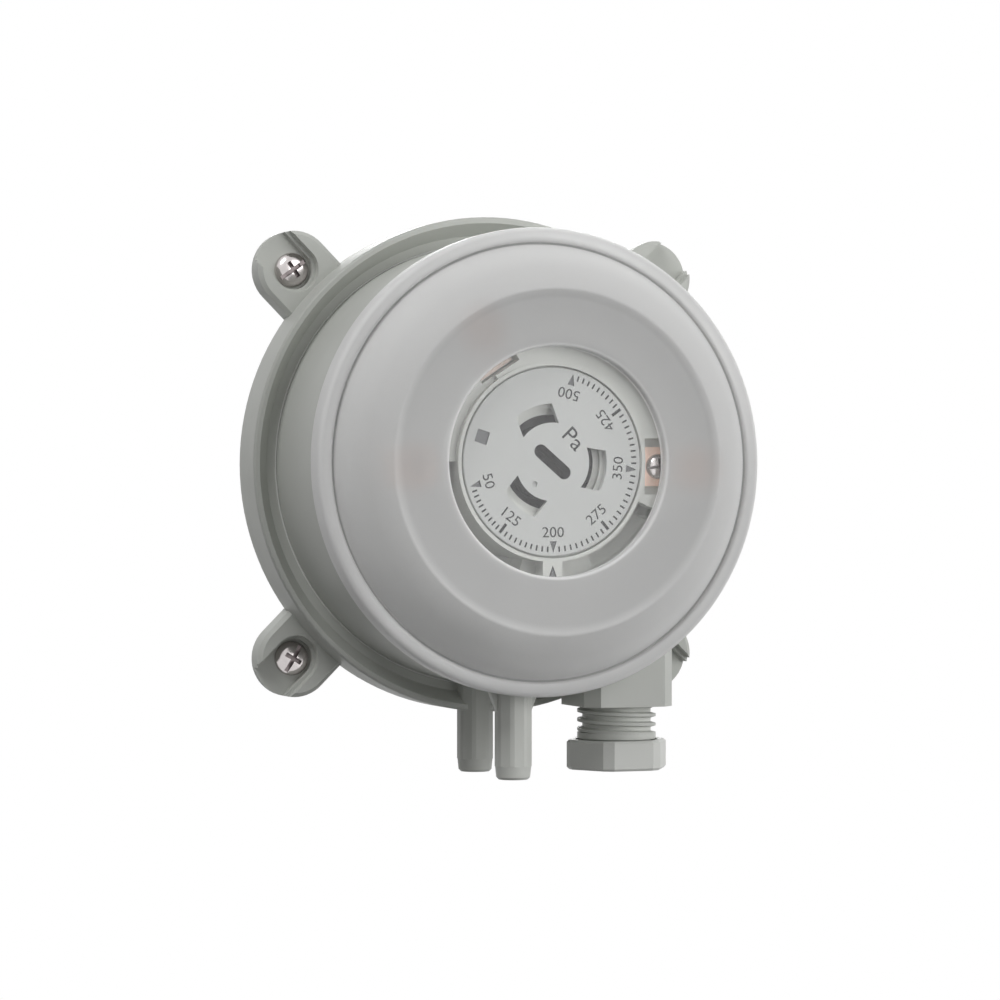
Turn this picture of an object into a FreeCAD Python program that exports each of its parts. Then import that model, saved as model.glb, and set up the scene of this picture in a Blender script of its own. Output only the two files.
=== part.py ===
# Differential pressure switch, wall mounted.
# Each piece is drawn lying on its back: x to the right, y up the wall and z out
# from the wall. One turn then stands it on the wall, so that in the finished
# model +Z is up, the front looks along -Y and the wall is the plane Y = 0.
import FreeCAD, Part
import math
import os
import Sketcher
from FreeCAD import Vector, Placement, Rotation

doc = FreeCAD.newDocument("differential_pressure_switch")
ON_THE_WALL = Placement(Vector(0, 0, 0), Rotation(Vector(1, 0, 0), 90))

# The driving sizes, in millimetres and degrees. Heights are above the wall.
SIZES = [
    ("flange_foot_inset", 0.8, "how far the ring draws in at the wall"),
    ("flange_foot_height", 2.2, "height over which it draws in"),
    ("flange_edge_round", 0.35, "rounding of the ring's outer crest"),
    ("crest_width", 1.05, "width of the ring's crest"),
    ("channel_slope", 2.0, "width of the sloping side of the channel inside the crest"),
    ("channel_floor", 1.45, "width of the channel's floor"),
    ("crest_rise", 3.0, "rise of the crest over the channel's floor"),
    ("floor_rise", 1.2, "rise of that floor over the seat of the upper housing"),
    ("seat_height", 6.9, "height of the seat that the upper housing stands on"),
    ("cup_rise", 5.3, "rise of the pressure chamber's cup over that seat"),
    ("back_wall", 2.6, "thickness of the base's floor"),
    ("rear_recess_radius", 24.0, "outer radius of the shallow recess at the back"),
    ("rear_island_radius", 9.0, "radius of the flat island inside that recess"),
    ("rear_recess_depth", 0.6, "its depth"),
    ("cup_wall", 2.2, "wall of the pressure chamber in the base"),
    ("ear_reach", 4.5, "distance from the ring to the fixing holes"),
    ("ear_radius", 6.55, "radius of an ear's end"),
    ("ear_height", 4.7, "thickness of an ear"),
    ("ear_bevel", 0.7, "bevel on the ear's front edge"),
    ("ear_pocket_radius", 4.0, "radius of the screw pocket at the front"),
    ("ear_pocket_step", 0.6, "step inside the pocket"),
    ("ear_step_depth", 1.7, "depth of the pocket's step"),
    ("ear_floor", 1.5, "floor under the screw head"),
    ("ear_hole_radius", 2.3, "radius of the fixing hole"),
    ("barb_x", -2.4, "sideways place of both hose connectors"),
    ("barb_radius", 3.1, "radius of a hose connector"),
    ("barb_flat", 2.99, "distance from its axis to its flats"),
    ("barb_tip_radius", 2.85, "radius at the end of its tip"),
    ("barb_tip", 2.2, "length of its tip"),
    ("barb_reach", 10.3, "how far the connectors stand out below the ring"),
    ("barb_bore", 1.5, "radius of its bore"),
    ("barb_round", 0.4, "rounding of its end"),
    ("rear_barb_drop", 3.3, "how far the rear connector's axis lies under the cup's rim"),
    ("front_barb_drop", 5.9, "how far the front connector's axis lies under the cover's rim"),
    ("gusset_reach", 2.6, "reach of the ribs at the root of the front connector"),
    ("gusset_length", 3.8, "how far these ribs run down from the upper housing"),
    ("gusset_thick", 1.2, "their thickness"),
    ("body_wall", 2.6, "its wall"),
    ("fit_gap", 0.3, "clearance between nested mouldings"),
    ("diaphragm_thick", 1.0, "thickness of the diaphragm's rim"),
    ("partition", 2.4, "thickness of the floor of the wiring space"),
    ("trough_width", 8.3, "width of the wiring space round the inner chamber"),
    ("chamber_wall", 1.8, "wall of the chamber over the diaphragm"),
    ("chamber_depth", 10.8, "height of that chamber over the diaphragm"),
    ("deck", 1.6, "thickness of the deck over the chamber"),
    ("rim_rise", 10.0, "rise of the cover's rim over the chamber's ceiling"),
    ("rim_step", 0.5, "step of the rim in from the housing's side"),
    ("seal_groove_width", 1.0, "width of the seal's groove"),
    ("seal_groove_inset", 0.55, "distance from the rim's side to the groove"),
    ("seal_groove_depth", 1.0, "depth of the seal's groove"),
    ("bezel_radius", 16.4, "outer radius of the ring round the dial"),
    ("bezel_wall", 0.6, "width of that ring"),
    ("bezel_rise", 6.2, "rise of that ring over the cover's rim"),
    ("tower_wall", 1.6, "wall of the dial tower"),
    ("plate_sink", 0.15, "gap between the dial and the plate under it"),
    ("seat_plate", 2.0, "its thickness"),
    ("throat_radius", 7.8, "radius of the hole in that plate"),
    ("throat_step", 1.0, "width of the step round that hole"),
    ("step_depth", 0.7, "depth of the step"),
    ("throat_depth", 1.7, "distance from the plate to the shaft's bearing"),
    ("bearing_length", 1.6, "length of that bearing"),
    ("sleeve_radius", 9.4, "inner radius of the spring's sleeve"),
    ("sleeve_wall", 1.6, "wall of the sleeve"),
    ("sleeve_drop", 2.0, "how far the sleeve hangs below the chamber's ceiling"),
    ("shaft_radius", 4.6, "radius of the dial's shaft"),
    ("shaft_inset", 0.5, "how far the shaft ends above the sleeve's end"),
    ("running_gap", 0.06, "radial clearance of turning shafts"),
    ("dial_thick", 1.05, "thickness of the dial"),
    ("dial_gap", 0.3, "gap round the dial"),
    ("dial_edge_round", 0.2, "rounding of the dial's edge"),
    ("dial_sink", 0.1, "how far the dial lies behind the ring's front"),
    ("hub_radius", 6.2, "radius of the hub behind the dial"),
    ("slot_length", 5.34, "distance between the ends' centres of the driver slot"),
    ("slot_width", 2.25, "width of the driver slot"),
    ("slot_depth", 4.5, "depth of the driver slot"),
    ("slot_angle", -40.4, "angle of the driver slot"),
    ("window_inner", 6.45, "inner radius of the dial's curved openings"),
    ("window_outer", 9.55, "outer radius of these openings"),
    ("window_width", 6.65, "distance between their straight sides"),
    ("window_angle", 111.0, "angle of the first of them"),
    ("dimple_x", -3.12, "sideways place of the dial's dimple"),
    ("dimple_y", -3.65, "its height on the dial"),
    ("dimple_radius", 0.5, "its radius"),
    ("shelf_thick", 1.9, "its thickness"),
    ("shelf_drop", 0.3, "how far that plate lies behind the ring's front"),
    ("shelf_inset", 2.8, "distance from the plate's edge to the chamber's wall"),
    ("shelf_wall", 1.6, "wall under its edge"),
    ("shelf_start", -23.0, "angle where it starts"),
    ("shelf_end", 125.0, "angle where it ends"),
    ("low_shelf_start", 256.0, "angle where the lower shelf starts"),
    ("low_shelf_end", 296.0, "angle where it ends"),
    ("low_shelf_drop", 3.7, "how far the lower shelf lies behind the ring's front"),
    ("side_shelf_end", 180.0, "angle where the shelf between the terminals ends"),
    ("side_shelf_drop", 0.9, "how far that shelf lies behind the other"),
    ("pointer_width", 3.4, "width of the pointer tab"),
    ("pointer_length", 3.0, "how far it stands out from the ring"),
    ("terminal_width", 6.5, "width of a terminal"),
    ("terminal_thick", 0.8, "thickness of a terminal"),
    ("terminal_depth", 3.1, "how far the terminals lie behind the ring's front"),
    ("terminal_inset", 0.7, "distance from the ring to the first terminal"),
    ("terminal_inset_nc", 1.0, "distance from the ring to the second terminal"),
    ("terminal_inset_no", 3.0, "distance from the ring to the third terminal"),
    ("terminal_drop", 6.5, "length of its bent leg"),
    ("terminal_side", -0.65, "sideways place of its middle"),
    ("terminal_margin", 1.37, "free width beside it in its recess"),
    ("terminal_margin_side", 0.4, "free width beside the other two"),
    ("terminal_rib", 0.9, "thickness of the ribs beside a terminal"),
    ("terminal_rib_rise", 1.5, "rise of these ribs over the terminals' floor"),
    ("terminal_angle_nc", 123.0, "angle of the second terminal"),
    ("terminal_angle_no", 183.0, "angle of the third terminal"),
    ("terminal_screw_inset", 3.1, "distance from the ring to a terminal's screw"),
    ("terminal_screw_inset_side", 6.2, "the same distance at the other two terminals"),
    ("terminal_screw_head", 2.1, "radius of the screw's head"),
    ("terminal_screw_rise", 1.3, "height of the screw's head"),
    ("terminal_screw_shank", 1.25, "radius of the screw's shank"),
    ("terminal_screw_length", 6.0, "length of the screw's shank"),
    ("gland_x", 18.97, "sideways place of the cable gland"),
    ("gland_rise", 5.4, "height of its axis over the wiring space's floor"),
    ("boss_width", 16.0, "width of the gland's boss"),
    ("boss_depth", 15.2, "depth of the boss out from the wall"),
    ("boss_corner", 2.2, "cut of the boss's corners"),
    ("boss_inset", 1.3, "how far the boss ends short of the ring's edge"),
    ("neck_radius", 5.85, "radius of the neck under its thread"),
    ("neck_collar_radius", 6.72, "radius of the collar, as the thread's crest"),
    ("neck_length", 8.1, "length of the neck"),
    ("collar_place", 2.5, "distance from the neck's mouth to the collar"),
    ("collar_width", 1.05, "width of the collar"),
    ("neck_bore", 4.3, "radius of the cable's way in"),
    ("neck_mouth", 5.0, "radius of the mouth that holds the seal"),
    ("neck_mouth_depth", 4.0, "depth of that mouth"),
    ("nut_across_flats", 16.1, "width of the gland nut over its flats"),
    ("nut_corner", 1.13, "cut of the nut's corners"),
    ("nut_overlap", 2.35, "how far the nut reaches up the neck"),
    ("nut_length", 5.05, "length of the nut"),
    ("nut_bore", 7.05, "radius inside the nut"),
    ("nut_floor", 1.4, "thickness of the nut's floor"),
    ("nut_hole", 3.8, "radius of the nut's hole"),
    ("nut_edge_bevel", 0.4, "bevel of the nut's edges"),
    ("ring_thick", 0.8, "thickness of the thrust ring"),
    ("ring_hole", 3.7, "radius of the thrust ring's hole"),
    ("seal_hole", 3.5, "radius of the gland seal's hole"),
    ("cover_wall", 1.3, "wall of the cover"),
    ("cover_play", 0.33, "gap between the rim and the cover"),
    ("cover_skirt", 2.1, "how far the cover reaches down over the rim"),
    ("bead_rise", 3.1, "height of the cover's straight side"),
    ("bead_round_rise", 1.35, "rise of the bead over that side"),
    ("bead_round_width", 1.48, "width over which the bead turns in"),
    ("crease_inset", 2.9, "distance from the cover's side to the crease"),
    ("crease_sink", 0.75, "depth of the crease under the bead"),
    ("shoulder_width", 7.63, "width of the curve up to the face's shoulder"),
    ("shoulder_curve", 13.0, "radius of that curve"),
    ("shoulder_fall_width", 1.7, "width over which the shoulder falls to the flat face"),
    ("shoulder_rise", 0.5, "rise of the shoulder over the flat face"),
    ("pane_margin", 2.45, "distance from the dial's ring to the window's edge"),
    ("pane_gap", 0.75, "gap between the dial's ring and the window"),
    ("pane_sink", 1.6, "how far the window lies behind the flat face"),
    ("pane_thick", 0.95, "thickness of the window"),
    ("pane_lip", 0.5, "rounding of the window's edge"),
    ("plate_thick", 1.2, "its thickness"),
    ("plate_margin", 6.0, "free width round the plate"),
    ("plate_gap", 0.1, "gap between diaphragm and plate"),
    ("plate_boss_radius", 7.8, "radius of the plate's spring boss"),
    ("plate_boss_rise", 4.5, "height of the spring boss"),
    ("plate_pin_radius", 5.4, "radius of the spring's register"),
    ("plate_pin_rise", 1.2, "height of the spring's register"),
    ("web_thick", 0.6, "thickness of the diaphragm's web"),
    ("fold_gap", 1.0, "distance from the plate to the diaphragm's fold"),
    ("fold_margin", 0.8, "distance from the fold to the chamber's wall"),
    ("web_fold_depth", 2.2, "depth of the fold"),
    ("spring_wire", 0.6, "radius of the spring's wire"),
    ("spring_radius", 6.8, "middle radius of the spring"),
    ("spring_turns", 6.0, "turns of the spring"),
    ("spring_end_gap", 0.05, "gap at each end of the spring"),
    ("spring_seat_drop", 3.4, "distance from the shaft's bearing to the spring seat's lower side"),
    ("spring_seat_thick", 1.6, "its thickness"),
    ("spring_seat_radius", 9.1, "its radius"),
    ("lever_width", 3.0, "width of the lever"),
    ("lever_thick", 0.6, "thickness of the lever"),
    ("lever_drop", 4.7, "how far it hangs below the chamber's ceiling"),
    ("lever_length", 28.0, "length from its pivot to its free end"),
    ("lever_eye", 1.3, "radius of the lever's eye"),
    ("pivot_radius", 0.65, "radius of the pivot pin"),
    ("plunger_radius", 1.2, "radius of the plunger"),
    ("cheek_thick", 0.9, "thickness of the pivot's cheeks"),
    ("cheek_reach", 1.2, "how far the cheeks reach past the lever"),
    ("carrier_thick", 1.3, "thickness of the contact carrier"),
    ("carrier_end", 18.2, "distance from the centre to the carrier's end"),
    ("lever_inset", 3.2, "distance from the lever's free end to the carrier's end"),
    ("contact_thick", 0.6, "thickness of the fixed contacts"),
    ("contact_gap", 0.3, "gap between lever and resting contact"),
    ("contact_reach", 5.2, "length of the fixed contacts' feet"),
    ("screw_boss_bite", 0.5, "how far the housing screws' bosses grow into the walls beside them"),
    ("screw_boss_rise", 4.0, "height of the bosses over the wiring space's floor"),
    ("screw_end_gap", 1.2, "distance from these bosses' tops to the screws' tips"),
    ("button_radius", 0.9, "radius of the contact buttons"),
    ("button_rise", 0.4, "height of the contact buttons"),
    ("housing_screw_head", 2.6, "radius of their heads"),
    ("housing_screw_rise", 1.5, "height of their heads"),
    ("housing_screw_shank", 1.45, "radius of their shanks"),
    ("housing_screw_sunk", 0.3, "how far their heads lie under the back"),
    ("screw_gap", 0.05, "clearance round a screw's shank"),
    ("fixing_head", 2.93, "radius of a fixing screw's head"),
    ("fixing_rise", 1.8, "height of its head"),
    ("fixing_neck", 2.2, "radius of the tapered neck under its head"),
    ("fixing_neck_past", 0.3, "how far the neck reaches past the back"),
    ("fixing_shank", 1.95, "radius of its shank"),
    ("fixing_reach", 10.0, "how far it stands out at the back"),
]


# A size carries its number and the formula that the document keeps for it.
class Size:
    def __init__(self, number, formula):
        self.number, self.formula = number, formula

    def join(self, sign, other, number):
        return Size(number, "(%s %s %s)" % (self.formula, sign, size(other).formula))

    def __add__(self, other):
        return self.join("+", other, self.number + size(other).number)

    def __sub__(self, other):
        return self.join("-", other, self.number - size(other).number)

    def __mul__(self, other):
        return self.join("*", other, self.number * size(other).number)

    def __truediv__(self, other):
        return self.join("/", other, self.number / size(other).number)

    def __radd__(self, other):
        return size(other) + self

    def __rsub__(self, other):
        return size(other) - self

    def __rmul__(self, other):
        return size(other) * self

    def __neg__(self):
        return Size(-self.number, "(0 - %s)" % self.formula)


def size(value):
    if isinstance(value, Size):
        return value
    return Size(float(value), "%.9g" % value if value >= 0 else "(0 - %.9g)" % -value)


def cosine(angle):
    angle = size(angle)
    return Size(math.cos(math.radians(angle.number)), "cos(%s)" % angle.formula)


def sine(angle):
    angle = size(angle)
    return Size(math.sin(math.radians(angle.number)), "sin(%s)" % angle.formula)


def hypotenuse(one, other):
    return Size(math.hypot(one.number, other.number), "sqrt(%s ^ 2 + %s ^ 2)" % (one.formula, other.formula))


sheet = doc.addObject("Spreadsheet::Sheet", "Sizes")


class Sizes:
    pass


s = Sizes()
for row, (alias, number, note) in enumerate(SIZES, start=1):
    sheet.set("A%d" % row, alias)
    sheet.set("B%d" % row, "%g" % number)
    sheet.set("C%d" % row, note)
    sheet.setAlias("B%d" % row, alias)
    setattr(s, alias, Size(number, "Sizes." + alias))
doc.recompute()


# How a piece is drawn and formed.
def new_body(name):
    body = doc.addObject("PartDesign::Body", name)
    body.Label = name
    body.Placement = ON_THE_WALL
    return body


def new_sketch(body, name, plane, at=(0, 0, 0), turn=0):
    sketch = body.newObject("Sketcher::SketchObject", name)
    face = [part for part in body.Origin.OriginFeatures if part.Role == plane][0]
    sketch.AttachmentSupport = [(face, "")]
    sketch.MapMode = "FlatFace"
    offset = [size(value) for value in at]
    turn = size(turn)
    sketch.AttachmentOffset = Placement(
        Vector(*[value.number for value in offset]), Rotation(Vector(0, 0, 1), turn.number))
    for axis, value in zip("xyz", offset):
        sketch.setExpression("AttachmentOffset.Base." + axis, value.formula)
    sketch.setExpression("AttachmentOffset.Rotation.Angle", "%s * 1 deg" % turn.formula)
    return sketch


def hold(sketch, kind, first, point, value):
    value = size(value)
    if value.formula == "0":
        axis = -2 if kind == "DistanceX" else -1
        sketch.addConstraint(Sketcher.Constraint("PointOnObject", first, point, axis))
        return
    index = sketch.addConstraint(Sketcher.Constraint(kind, -1, 1, first, point, value.number))
    sketch.setExpression("Constraints[%d]" % index, value.formula)


# A closed outline through the corners. A corner with a third value starts an
# arc of that radius to the next corner: plus bends left, minus bends right.
def outline(body, name, plane, corners, at=(0, 0, 0), turn=0):
    sketch = new_sketch(body, name, plane, at, turn)
    ends = []
    count = len(corners)
    for index in range(count):
        here, there = corners[index], corners[(index + 1) % count]
        start = Vector(size(here[0]).number, size(here[1]).number, 0)
        end = Vector(size(there[0]).number, size(there[1]).number, 0)
        if len(here) == 2:
            ends.append((sketch.addGeometry(Part.LineSegment(start, end), False), 1, 2))
            continue
        radius = size(here[2])
        side = 1 if radius.number > 0 else -1
        chord = end - start
        rise = math.sqrt(max(radius.number ** 2 - chord.Length ** 2 / 4, 0))
        centre = (start + end) * 0.5 + Vector(-chord.y, chord.x, 0).normalize() * rise * side
        first, last = (start, end) if side > 0 else (end, start)
        low = math.atan2(first.y - centre.y, first.x - centre.x)
        high = math.atan2(last.y - centre.y, last.x - centre.x)
        if high < low:
            high += 2 * math.pi
        circle = Part.Circle(centre, Vector(0, 0, 1), abs(radius.number))
        arc = sketch.addGeometry(Part.ArcOfCircle(circle, low, high), False)
        ends.append((arc, 1, 2) if side > 0 else (arc, 2, 1))
        held = sketch.addConstraint(Sketcher.Constraint("Radius", arc, abs(radius.number)))
        formula = radius.formula if side > 0 else "(0 - %s)" % radius.formula
        sketch.setExpression("Constraints[%d]" % held, formula)
    for index in range(count):
        piece, start, end = ends[index]
        after, after_start, _ = ends[(index + 1) % count]
        sketch.addConstraint(Sketcher.Constraint("Coincident", piece, end, after, after_start))
        hold(sketch, "DistanceX", piece, start, corners[index][0])
        hold(sketch, "DistanceY", piece, start, corners[index][1])
    return sketch


# Circles, each given by its centre and its radius.
def circles(body, name, plane, rounds, at=(0, 0, 0), turn=0):
    sketch = new_sketch(body, name, plane, at, turn)
    for across, up, radius in rounds:
        across, up, radius = size(across), size(up), size(radius)
        ring = sketch.addGeometry(Part.Circle(
            Vector(across.number, up.number, 0), Vector(0, 0, 1), radius.number), False)
        held = sketch.addConstraint(Sketcher.Constraint("Radius", ring, radius.number))
        sketch.setExpression("Constraints[%d]" % held, radius.formula)
        hold(sketch, "DistanceX", ring, 3, across)
        hold(sketch, "DistanceY", ring, 3, up)
    return sketch


def form(kind, body, name, sketch, length=None, backwards=False):
    feature = body.newObject("PartDesign::" + kind, name)
    feature.Profile = sketch
    if length is None:
        feature.ReferenceAxis = (sketch, ["V_Axis"])
        feature.Angle = 360
    else:
        feature.Length = size(length).number
        feature.setExpression("Length", size(length).formula)
        feature.Reversed = backwards
    sketch.Visibility = False
    return feature


# Added outwards from the sketch, or cut inwards from it.
def pad(body, name, sketch, length, backwards=False):
    return form("Pad", body, name, sketch, length, backwards)


def pocket(body, name, sketch, length, backwards=False):
    return form("Pocket", body, name, sketch, length, backwards)


def turned(body, name, sketch):
    return form("Revolution", body, name, sketch)


def grooved(body, name, sketch):
    return form("Groove", body, name, sketch)


def around(body, name, features, count):
    pattern = body.newObject("PartDesign::PolarPattern", name)
    pattern.Originals = features
    pattern.Axis = ([part for part in body.Origin.OriginFeatures if part.Role == "Z_Axis"][0], [""])
    pattern.Angle = 360
    pattern.Occurrences = count
    body.Tip = pattern
    return pattern


# Rounds or bevels the edges that the test picks from the body's last shape.
def dress(kind, body, name, reach, picks):
    doc.recompute()
    last = body.Tip
    names = ["Edge%d" % (index + 1) for index, edge in enumerate(last.Shape.Edges) if picks(edge)]
    if not names:
        raise RuntimeError(name + " finds no edge")
    feature = body.newObject("PartDesign::" + kind, name)
    feature.Base = (last, names)
    prop = "Radius" if kind == "Fillet" else "Size"
    setattr(feature, prop, size(reach).number)
    feature.setExpression(prop, size(reach).formula)
    return feature


def near(a, b, slack=0.01):
    return abs(size(a).number - size(b).number) < slack


def ring_at(radius, height):
    def picks(edge):
        curve = edge.Curve
        return (isinstance(curve, Part.Circle) and near(curve.Radius, radius)
                and near(curve.Center.z, height) and math.hypot(curve.Center.x, curve.Center.y) < 0.01)
    return picks


# Sizes that follow from others. First the radii, from the contacts outwards.
cheek_out = s.lever_width / 2 + s.fit_gap + s.cheek_thick
s.lever_x = s.sleeve_radius + s.sleeve_wall + s.fit_gap + cheek_out
s.lever_tip = s.carrier_end - s.lever_inset
s.lever_pivot = s.lever_tip - s.lever_length
s.chamber_radius = hypotenuse(s.lever_x + cheek_out, s.carrier_end) + s.fit_gap
chamber_outer = s.chamber_radius + s.chamber_wall
s.plate_radius = s.chamber_radius - s.plate_margin
s.web_fold_inner = s.plate_radius + s.fold_gap
s.web_fold_outer = s.chamber_radius - s.fold_margin
s.shelf_radius = chamber_outer - s.shelf_inset
trough_radius = chamber_outer + s.trough_width
s.body_radius = trough_radius + s.body_wall
s.rim_radius = s.body_radius - s.rim_step
cup_outer = trough_radius - s.fit_gap
cup_inner = cup_outer - s.cup_wall
channel_inner = s.body_radius + s.fit_gap
channel_outer = channel_inner + s.channel_floor
crest_inner = channel_outer + s.channel_slope
s.flange_radius = crest_inner + s.crest_width
ear_distance = s.flange_radius + s.ear_reach
s.ear_offset = ear_distance / math.sqrt(2)
s.housing_screw_circle = (chamber_outer + cup_inner) / 2
s.housing_screw_boss = (cup_inner - chamber_outer) / 2 + s.screw_boss_bite
inner_radius = s.rim_radius + s.cover_play
s.cover_radius = inner_radius + s.cover_wall
s.bead_radius = s.cover_radius - s.bead_round_width
s.crease_radius = s.cover_radius - s.crease_inset
s.shoulder_radius = s.crease_radius - s.shoulder_width
s.dish_radius = s.shoulder_radius - s.shoulder_fall_width
s.pane_radius = s.bezel_radius + s.pane_margin
s.pointer_reach = s.bezel_radius + s.pointer_length
s.step_radius = s.throat_radius + s.throat_step
dial_radius = s.bezel_radius - s.bezel_wall - s.dial_gap
tower_inner = s.bezel_radius - s.tower_wall
shaft_hole = s.shaft_radius + s.running_gap

# Then the drops below the centre.
s.gusset_drop = s.body_radius + s.gusset_length
s.barb_end = s.flange_radius + s.barb_reach
s.barb_tip_start = s.barb_end - s.barb_tip
s.boss_end = s.flange_radius - s.boss_inset
s.neck_end = s.boss_end + s.neck_length
s.neck_collar_end = s.neck_end - s.collar_place
s.neck_collar_start = s.neck_collar_end - s.collar_width
s.nut_start = s.neck_end - s.nut_overlap
s.nut_end = s.nut_start + s.nut_length

# And the heights, from the wall up.
channel_height = s.seat_height + s.floor_rise
s.flange_height = channel_height + s.crest_rise
cup_top = s.seat_height + s.cup_rise
clamp_top = cup_top + s.diaphragm_thick
trough_floor = clamp_top + s.partition
s.chamber_top = clamp_top + s.chamber_depth
deck_top = s.chamber_top + s.deck
s.rim_top = s.chamber_top + s.rim_rise
s.bezel_height = s.rim_top + s.bezel_rise
s.dial_face = s.bezel_height - s.dial_sink
dial_back = s.dial_face - s.dial_thick
s.seat_plate_top = dial_back - s.plate_sink
seat_bottom = s.seat_plate_top - s.seat_plate
s.bearing_top = seat_bottom - s.throat_depth
bearing_bottom = s.bearing_top - s.bearing_length
s.spring_seat_height = bearing_bottom - s.spring_seat_drop
s.sleeve_bottom = s.chamber_top - s.sleeve_drop
s.shaft_bottom = s.sleeve_bottom + s.shaft_inset
s.shelf_height = s.bezel_height - s.shelf_drop
side_shelf_height = s.shelf_height - s.side_shelf_drop
s.low_shelf_height = s.bezel_height - s.low_shelf_drop
s.terminal_floor = s.bezel_height - s.terminal_depth
s.terminal_rib_height = s.terminal_floor + s.terminal_rib_rise
s.cover_lip = s.rim_top - s.cover_skirt
shoulder_top = s.cover_lip - s.fit_gap
s.bead_start = s.cover_lip + s.bead_rise
s.bead_height = s.bead_start + s.bead_round_rise
s.crease_height = s.bead_height - s.crease_sink
s.pane_height = s.bezel_height + s.pane_gap + s.pane_thick
s.dish_height = s.pane_height + s.pane_sink
s.shoulder_height = s.dish_height + s.shoulder_rise
s.gland_height = trough_floor + s.gland_rise
s.rear_barb_height = cup_top - s.rear_barb_drop
s.front_barb_height = s.rim_top - s.front_barb_drop
s.housing_boss_top = trough_floor + s.screw_boss_rise
s.housing_screw_end = s.housing_boss_top - s.screw_end_gap
s.lever_height = s.chamber_top - s.lever_drop
s.cheek_drop = s.lever_height - s.cheek_reach
web_top = cup_top + s.diaphragm_thick / 2 + s.web_thick / 2
plate_low = web_top + s.plate_gap
s.plate_boss_height = plate_low + s.plate_boss_rise
s.plate_pin_height = s.plate_boss_height + s.plate_pin_rise

screw_spots = [(s.housing_screw_circle * cosine(angle), s.housing_screw_circle * sine(angle))
               for angle in (90, 210, 330)]
screw_hole = s.housing_screw_shank + s.screw_gap
counterbore = s.housing_screw_sunk + s.housing_screw_rise
# Each terminal: its angle, the places of its inner end and its screw, and the free width beside it.
terminal_places = [
    ("common", size(0), s.bezel_radius + s.terminal_inset,
     s.bezel_radius + s.terminal_screw_inset, s.terminal_margin),
    ("nc", s.terminal_angle_nc, s.bezel_radius + s.terminal_inset_nc,
     s.bezel_radius + s.terminal_screw_inset_side, s.terminal_margin_side),
    ("no", s.terminal_angle_no, s.bezel_radius + s.terminal_inset_no,
     s.bezel_radius + s.terminal_screw_inset_side, s.terminal_margin_side)]
block_end = chamber_outer


# A hose connector: flats round its shaft, then a round tapered tip.
def hose_connector(body, name, height, root):
    half = Size(math.sqrt(s.barb_radius.number ** 2 - s.barb_flat.number ** 2),
                "sqrt(Sizes.barb_radius ^ 2 - Sizes.barb_flat ^ 2)")
    corners = []
    for index in range(8):
        angle = 45 * index
        along, across = (cosine(angle), sine(angle)), (-sine(angle), cosine(angle))
        for sign in (-1, 1):
            spot = [s.barb_flat * along[axis] + half * sign * across[axis] for axis in (0, 1)]
            corners.append((spot[0], spot[1]) if sign < 0 else (spot[0], spot[1], s.barb_radius))
    shaft = outline(body, name + "_section", "XZ_Plane", corners, (s.barb_x, height, root))
    pad(body, name + "_shaft", shaft, s.barb_tip_start - root)
    tip = outline(body, name + "_tip_profile", "XY_Plane", [
        (0, -s.barb_tip_start), (0, -s.barb_end), (s.barb_tip_radius - s.barb_round, -s.barb_end),
        (s.barb_tip_radius, s.barb_round - s.barb_end), (s.barb_radius - 0.06, -s.barb_tip_start)],
        (s.barb_x, 0, height))
    turned(body, name + "_tip", tip)


# Base: floor, ring with its channel, chamber cup, ears and rear connector.
base = new_body("base_housing")
turned(base, "base_form", outline(base, "base_profile", "XZ_Plane", [
    (0, 0), (s.flange_radius - s.flange_foot_inset, 0), (s.flange_radius, s.flange_foot_height),
    (s.flange_radius, s.flange_height), (crest_inner, s.flange_height),
    (channel_outer, channel_height), (channel_inner, channel_height), (channel_inner, s.seat_height),
    (cup_outer, s.seat_height), (cup_outer, cup_top), (0, cup_top)]))
ear_root = ear_distance - s.ear_radius * 1.6
ear = pad(base, "ear", outline(base, "ear_outline", "XY_Plane", [
    (ear_root, -s.ear_radius), (ear_distance, -s.ear_radius, s.ear_radius),
    (ear_distance + s.ear_radius, 0, s.ear_radius), (ear_distance, s.ear_radius),
    (ear_root, s.ear_radius)], turn=45), s.ear_height)


def pocket_outline(name, radius, height):
    out = ear_distance + s.ear_radius * 1.5
    return outline(base, name, "XY_Plane", [
        (out, -radius), (out, radius), (ear_distance, radius, radius),
        (ear_distance - radius, 0, radius), (ear_distance, -radius)], (0, 0, height), turn=45)


step_height = s.ear_height - s.ear_step_depth
upper = pocket(base, "ear_pocket", pocket_outline("ear_pocket_outline", s.ear_pocket_radius, s.ear_height),
               s.ear_step_depth)
lower = pocket(base, "ear_pocket_floor", pocket_outline(
    "ear_floor_outline", s.ear_pocket_radius - s.ear_pocket_step, step_height), step_height - s.ear_floor)
hole = pocket(base, "ear_hole", circles(base, "ear_hole_circle", "XY_Plane", [
    (ear_distance, 0, s.ear_hole_radius)], (0, 0, s.ear_floor), turn=45), s.ear_floor)
around(base, "ears", [ear, upper, lower, hole], 4)
pocket(base, "chamber", circles(base, "chamber_circle", "XY_Plane", [(0, 0, cup_inner)],
       (0, 0, cup_top)), cup_top - s.back_wall)
hose_connector(base, "rear_connector", s.rear_barb_height, cup_inner + s.cup_wall / 2)
pad(base, "screw_bosses", circles(base, "screw_boss_circles", "XY_Plane", [
    (x, y, s.housing_screw_boss) for x, y in screw_spots], (0, 0, s.back_wall)), cup_top - s.back_wall)
pocket(base, "screw_holes", circles(base, "screw_hole_circles", "XY_Plane", [
    (x, y, screw_hole) for x, y in screw_spots], (0, 0, cup_top)), cup_top)
pocket(base, "screw_counterbores", circles(base, "counterbore_circles", "XY_Plane", [
    (x, y, s.housing_screw_head + s.fit_gap) for x, y in screw_spots]), counterbore, True)
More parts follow.
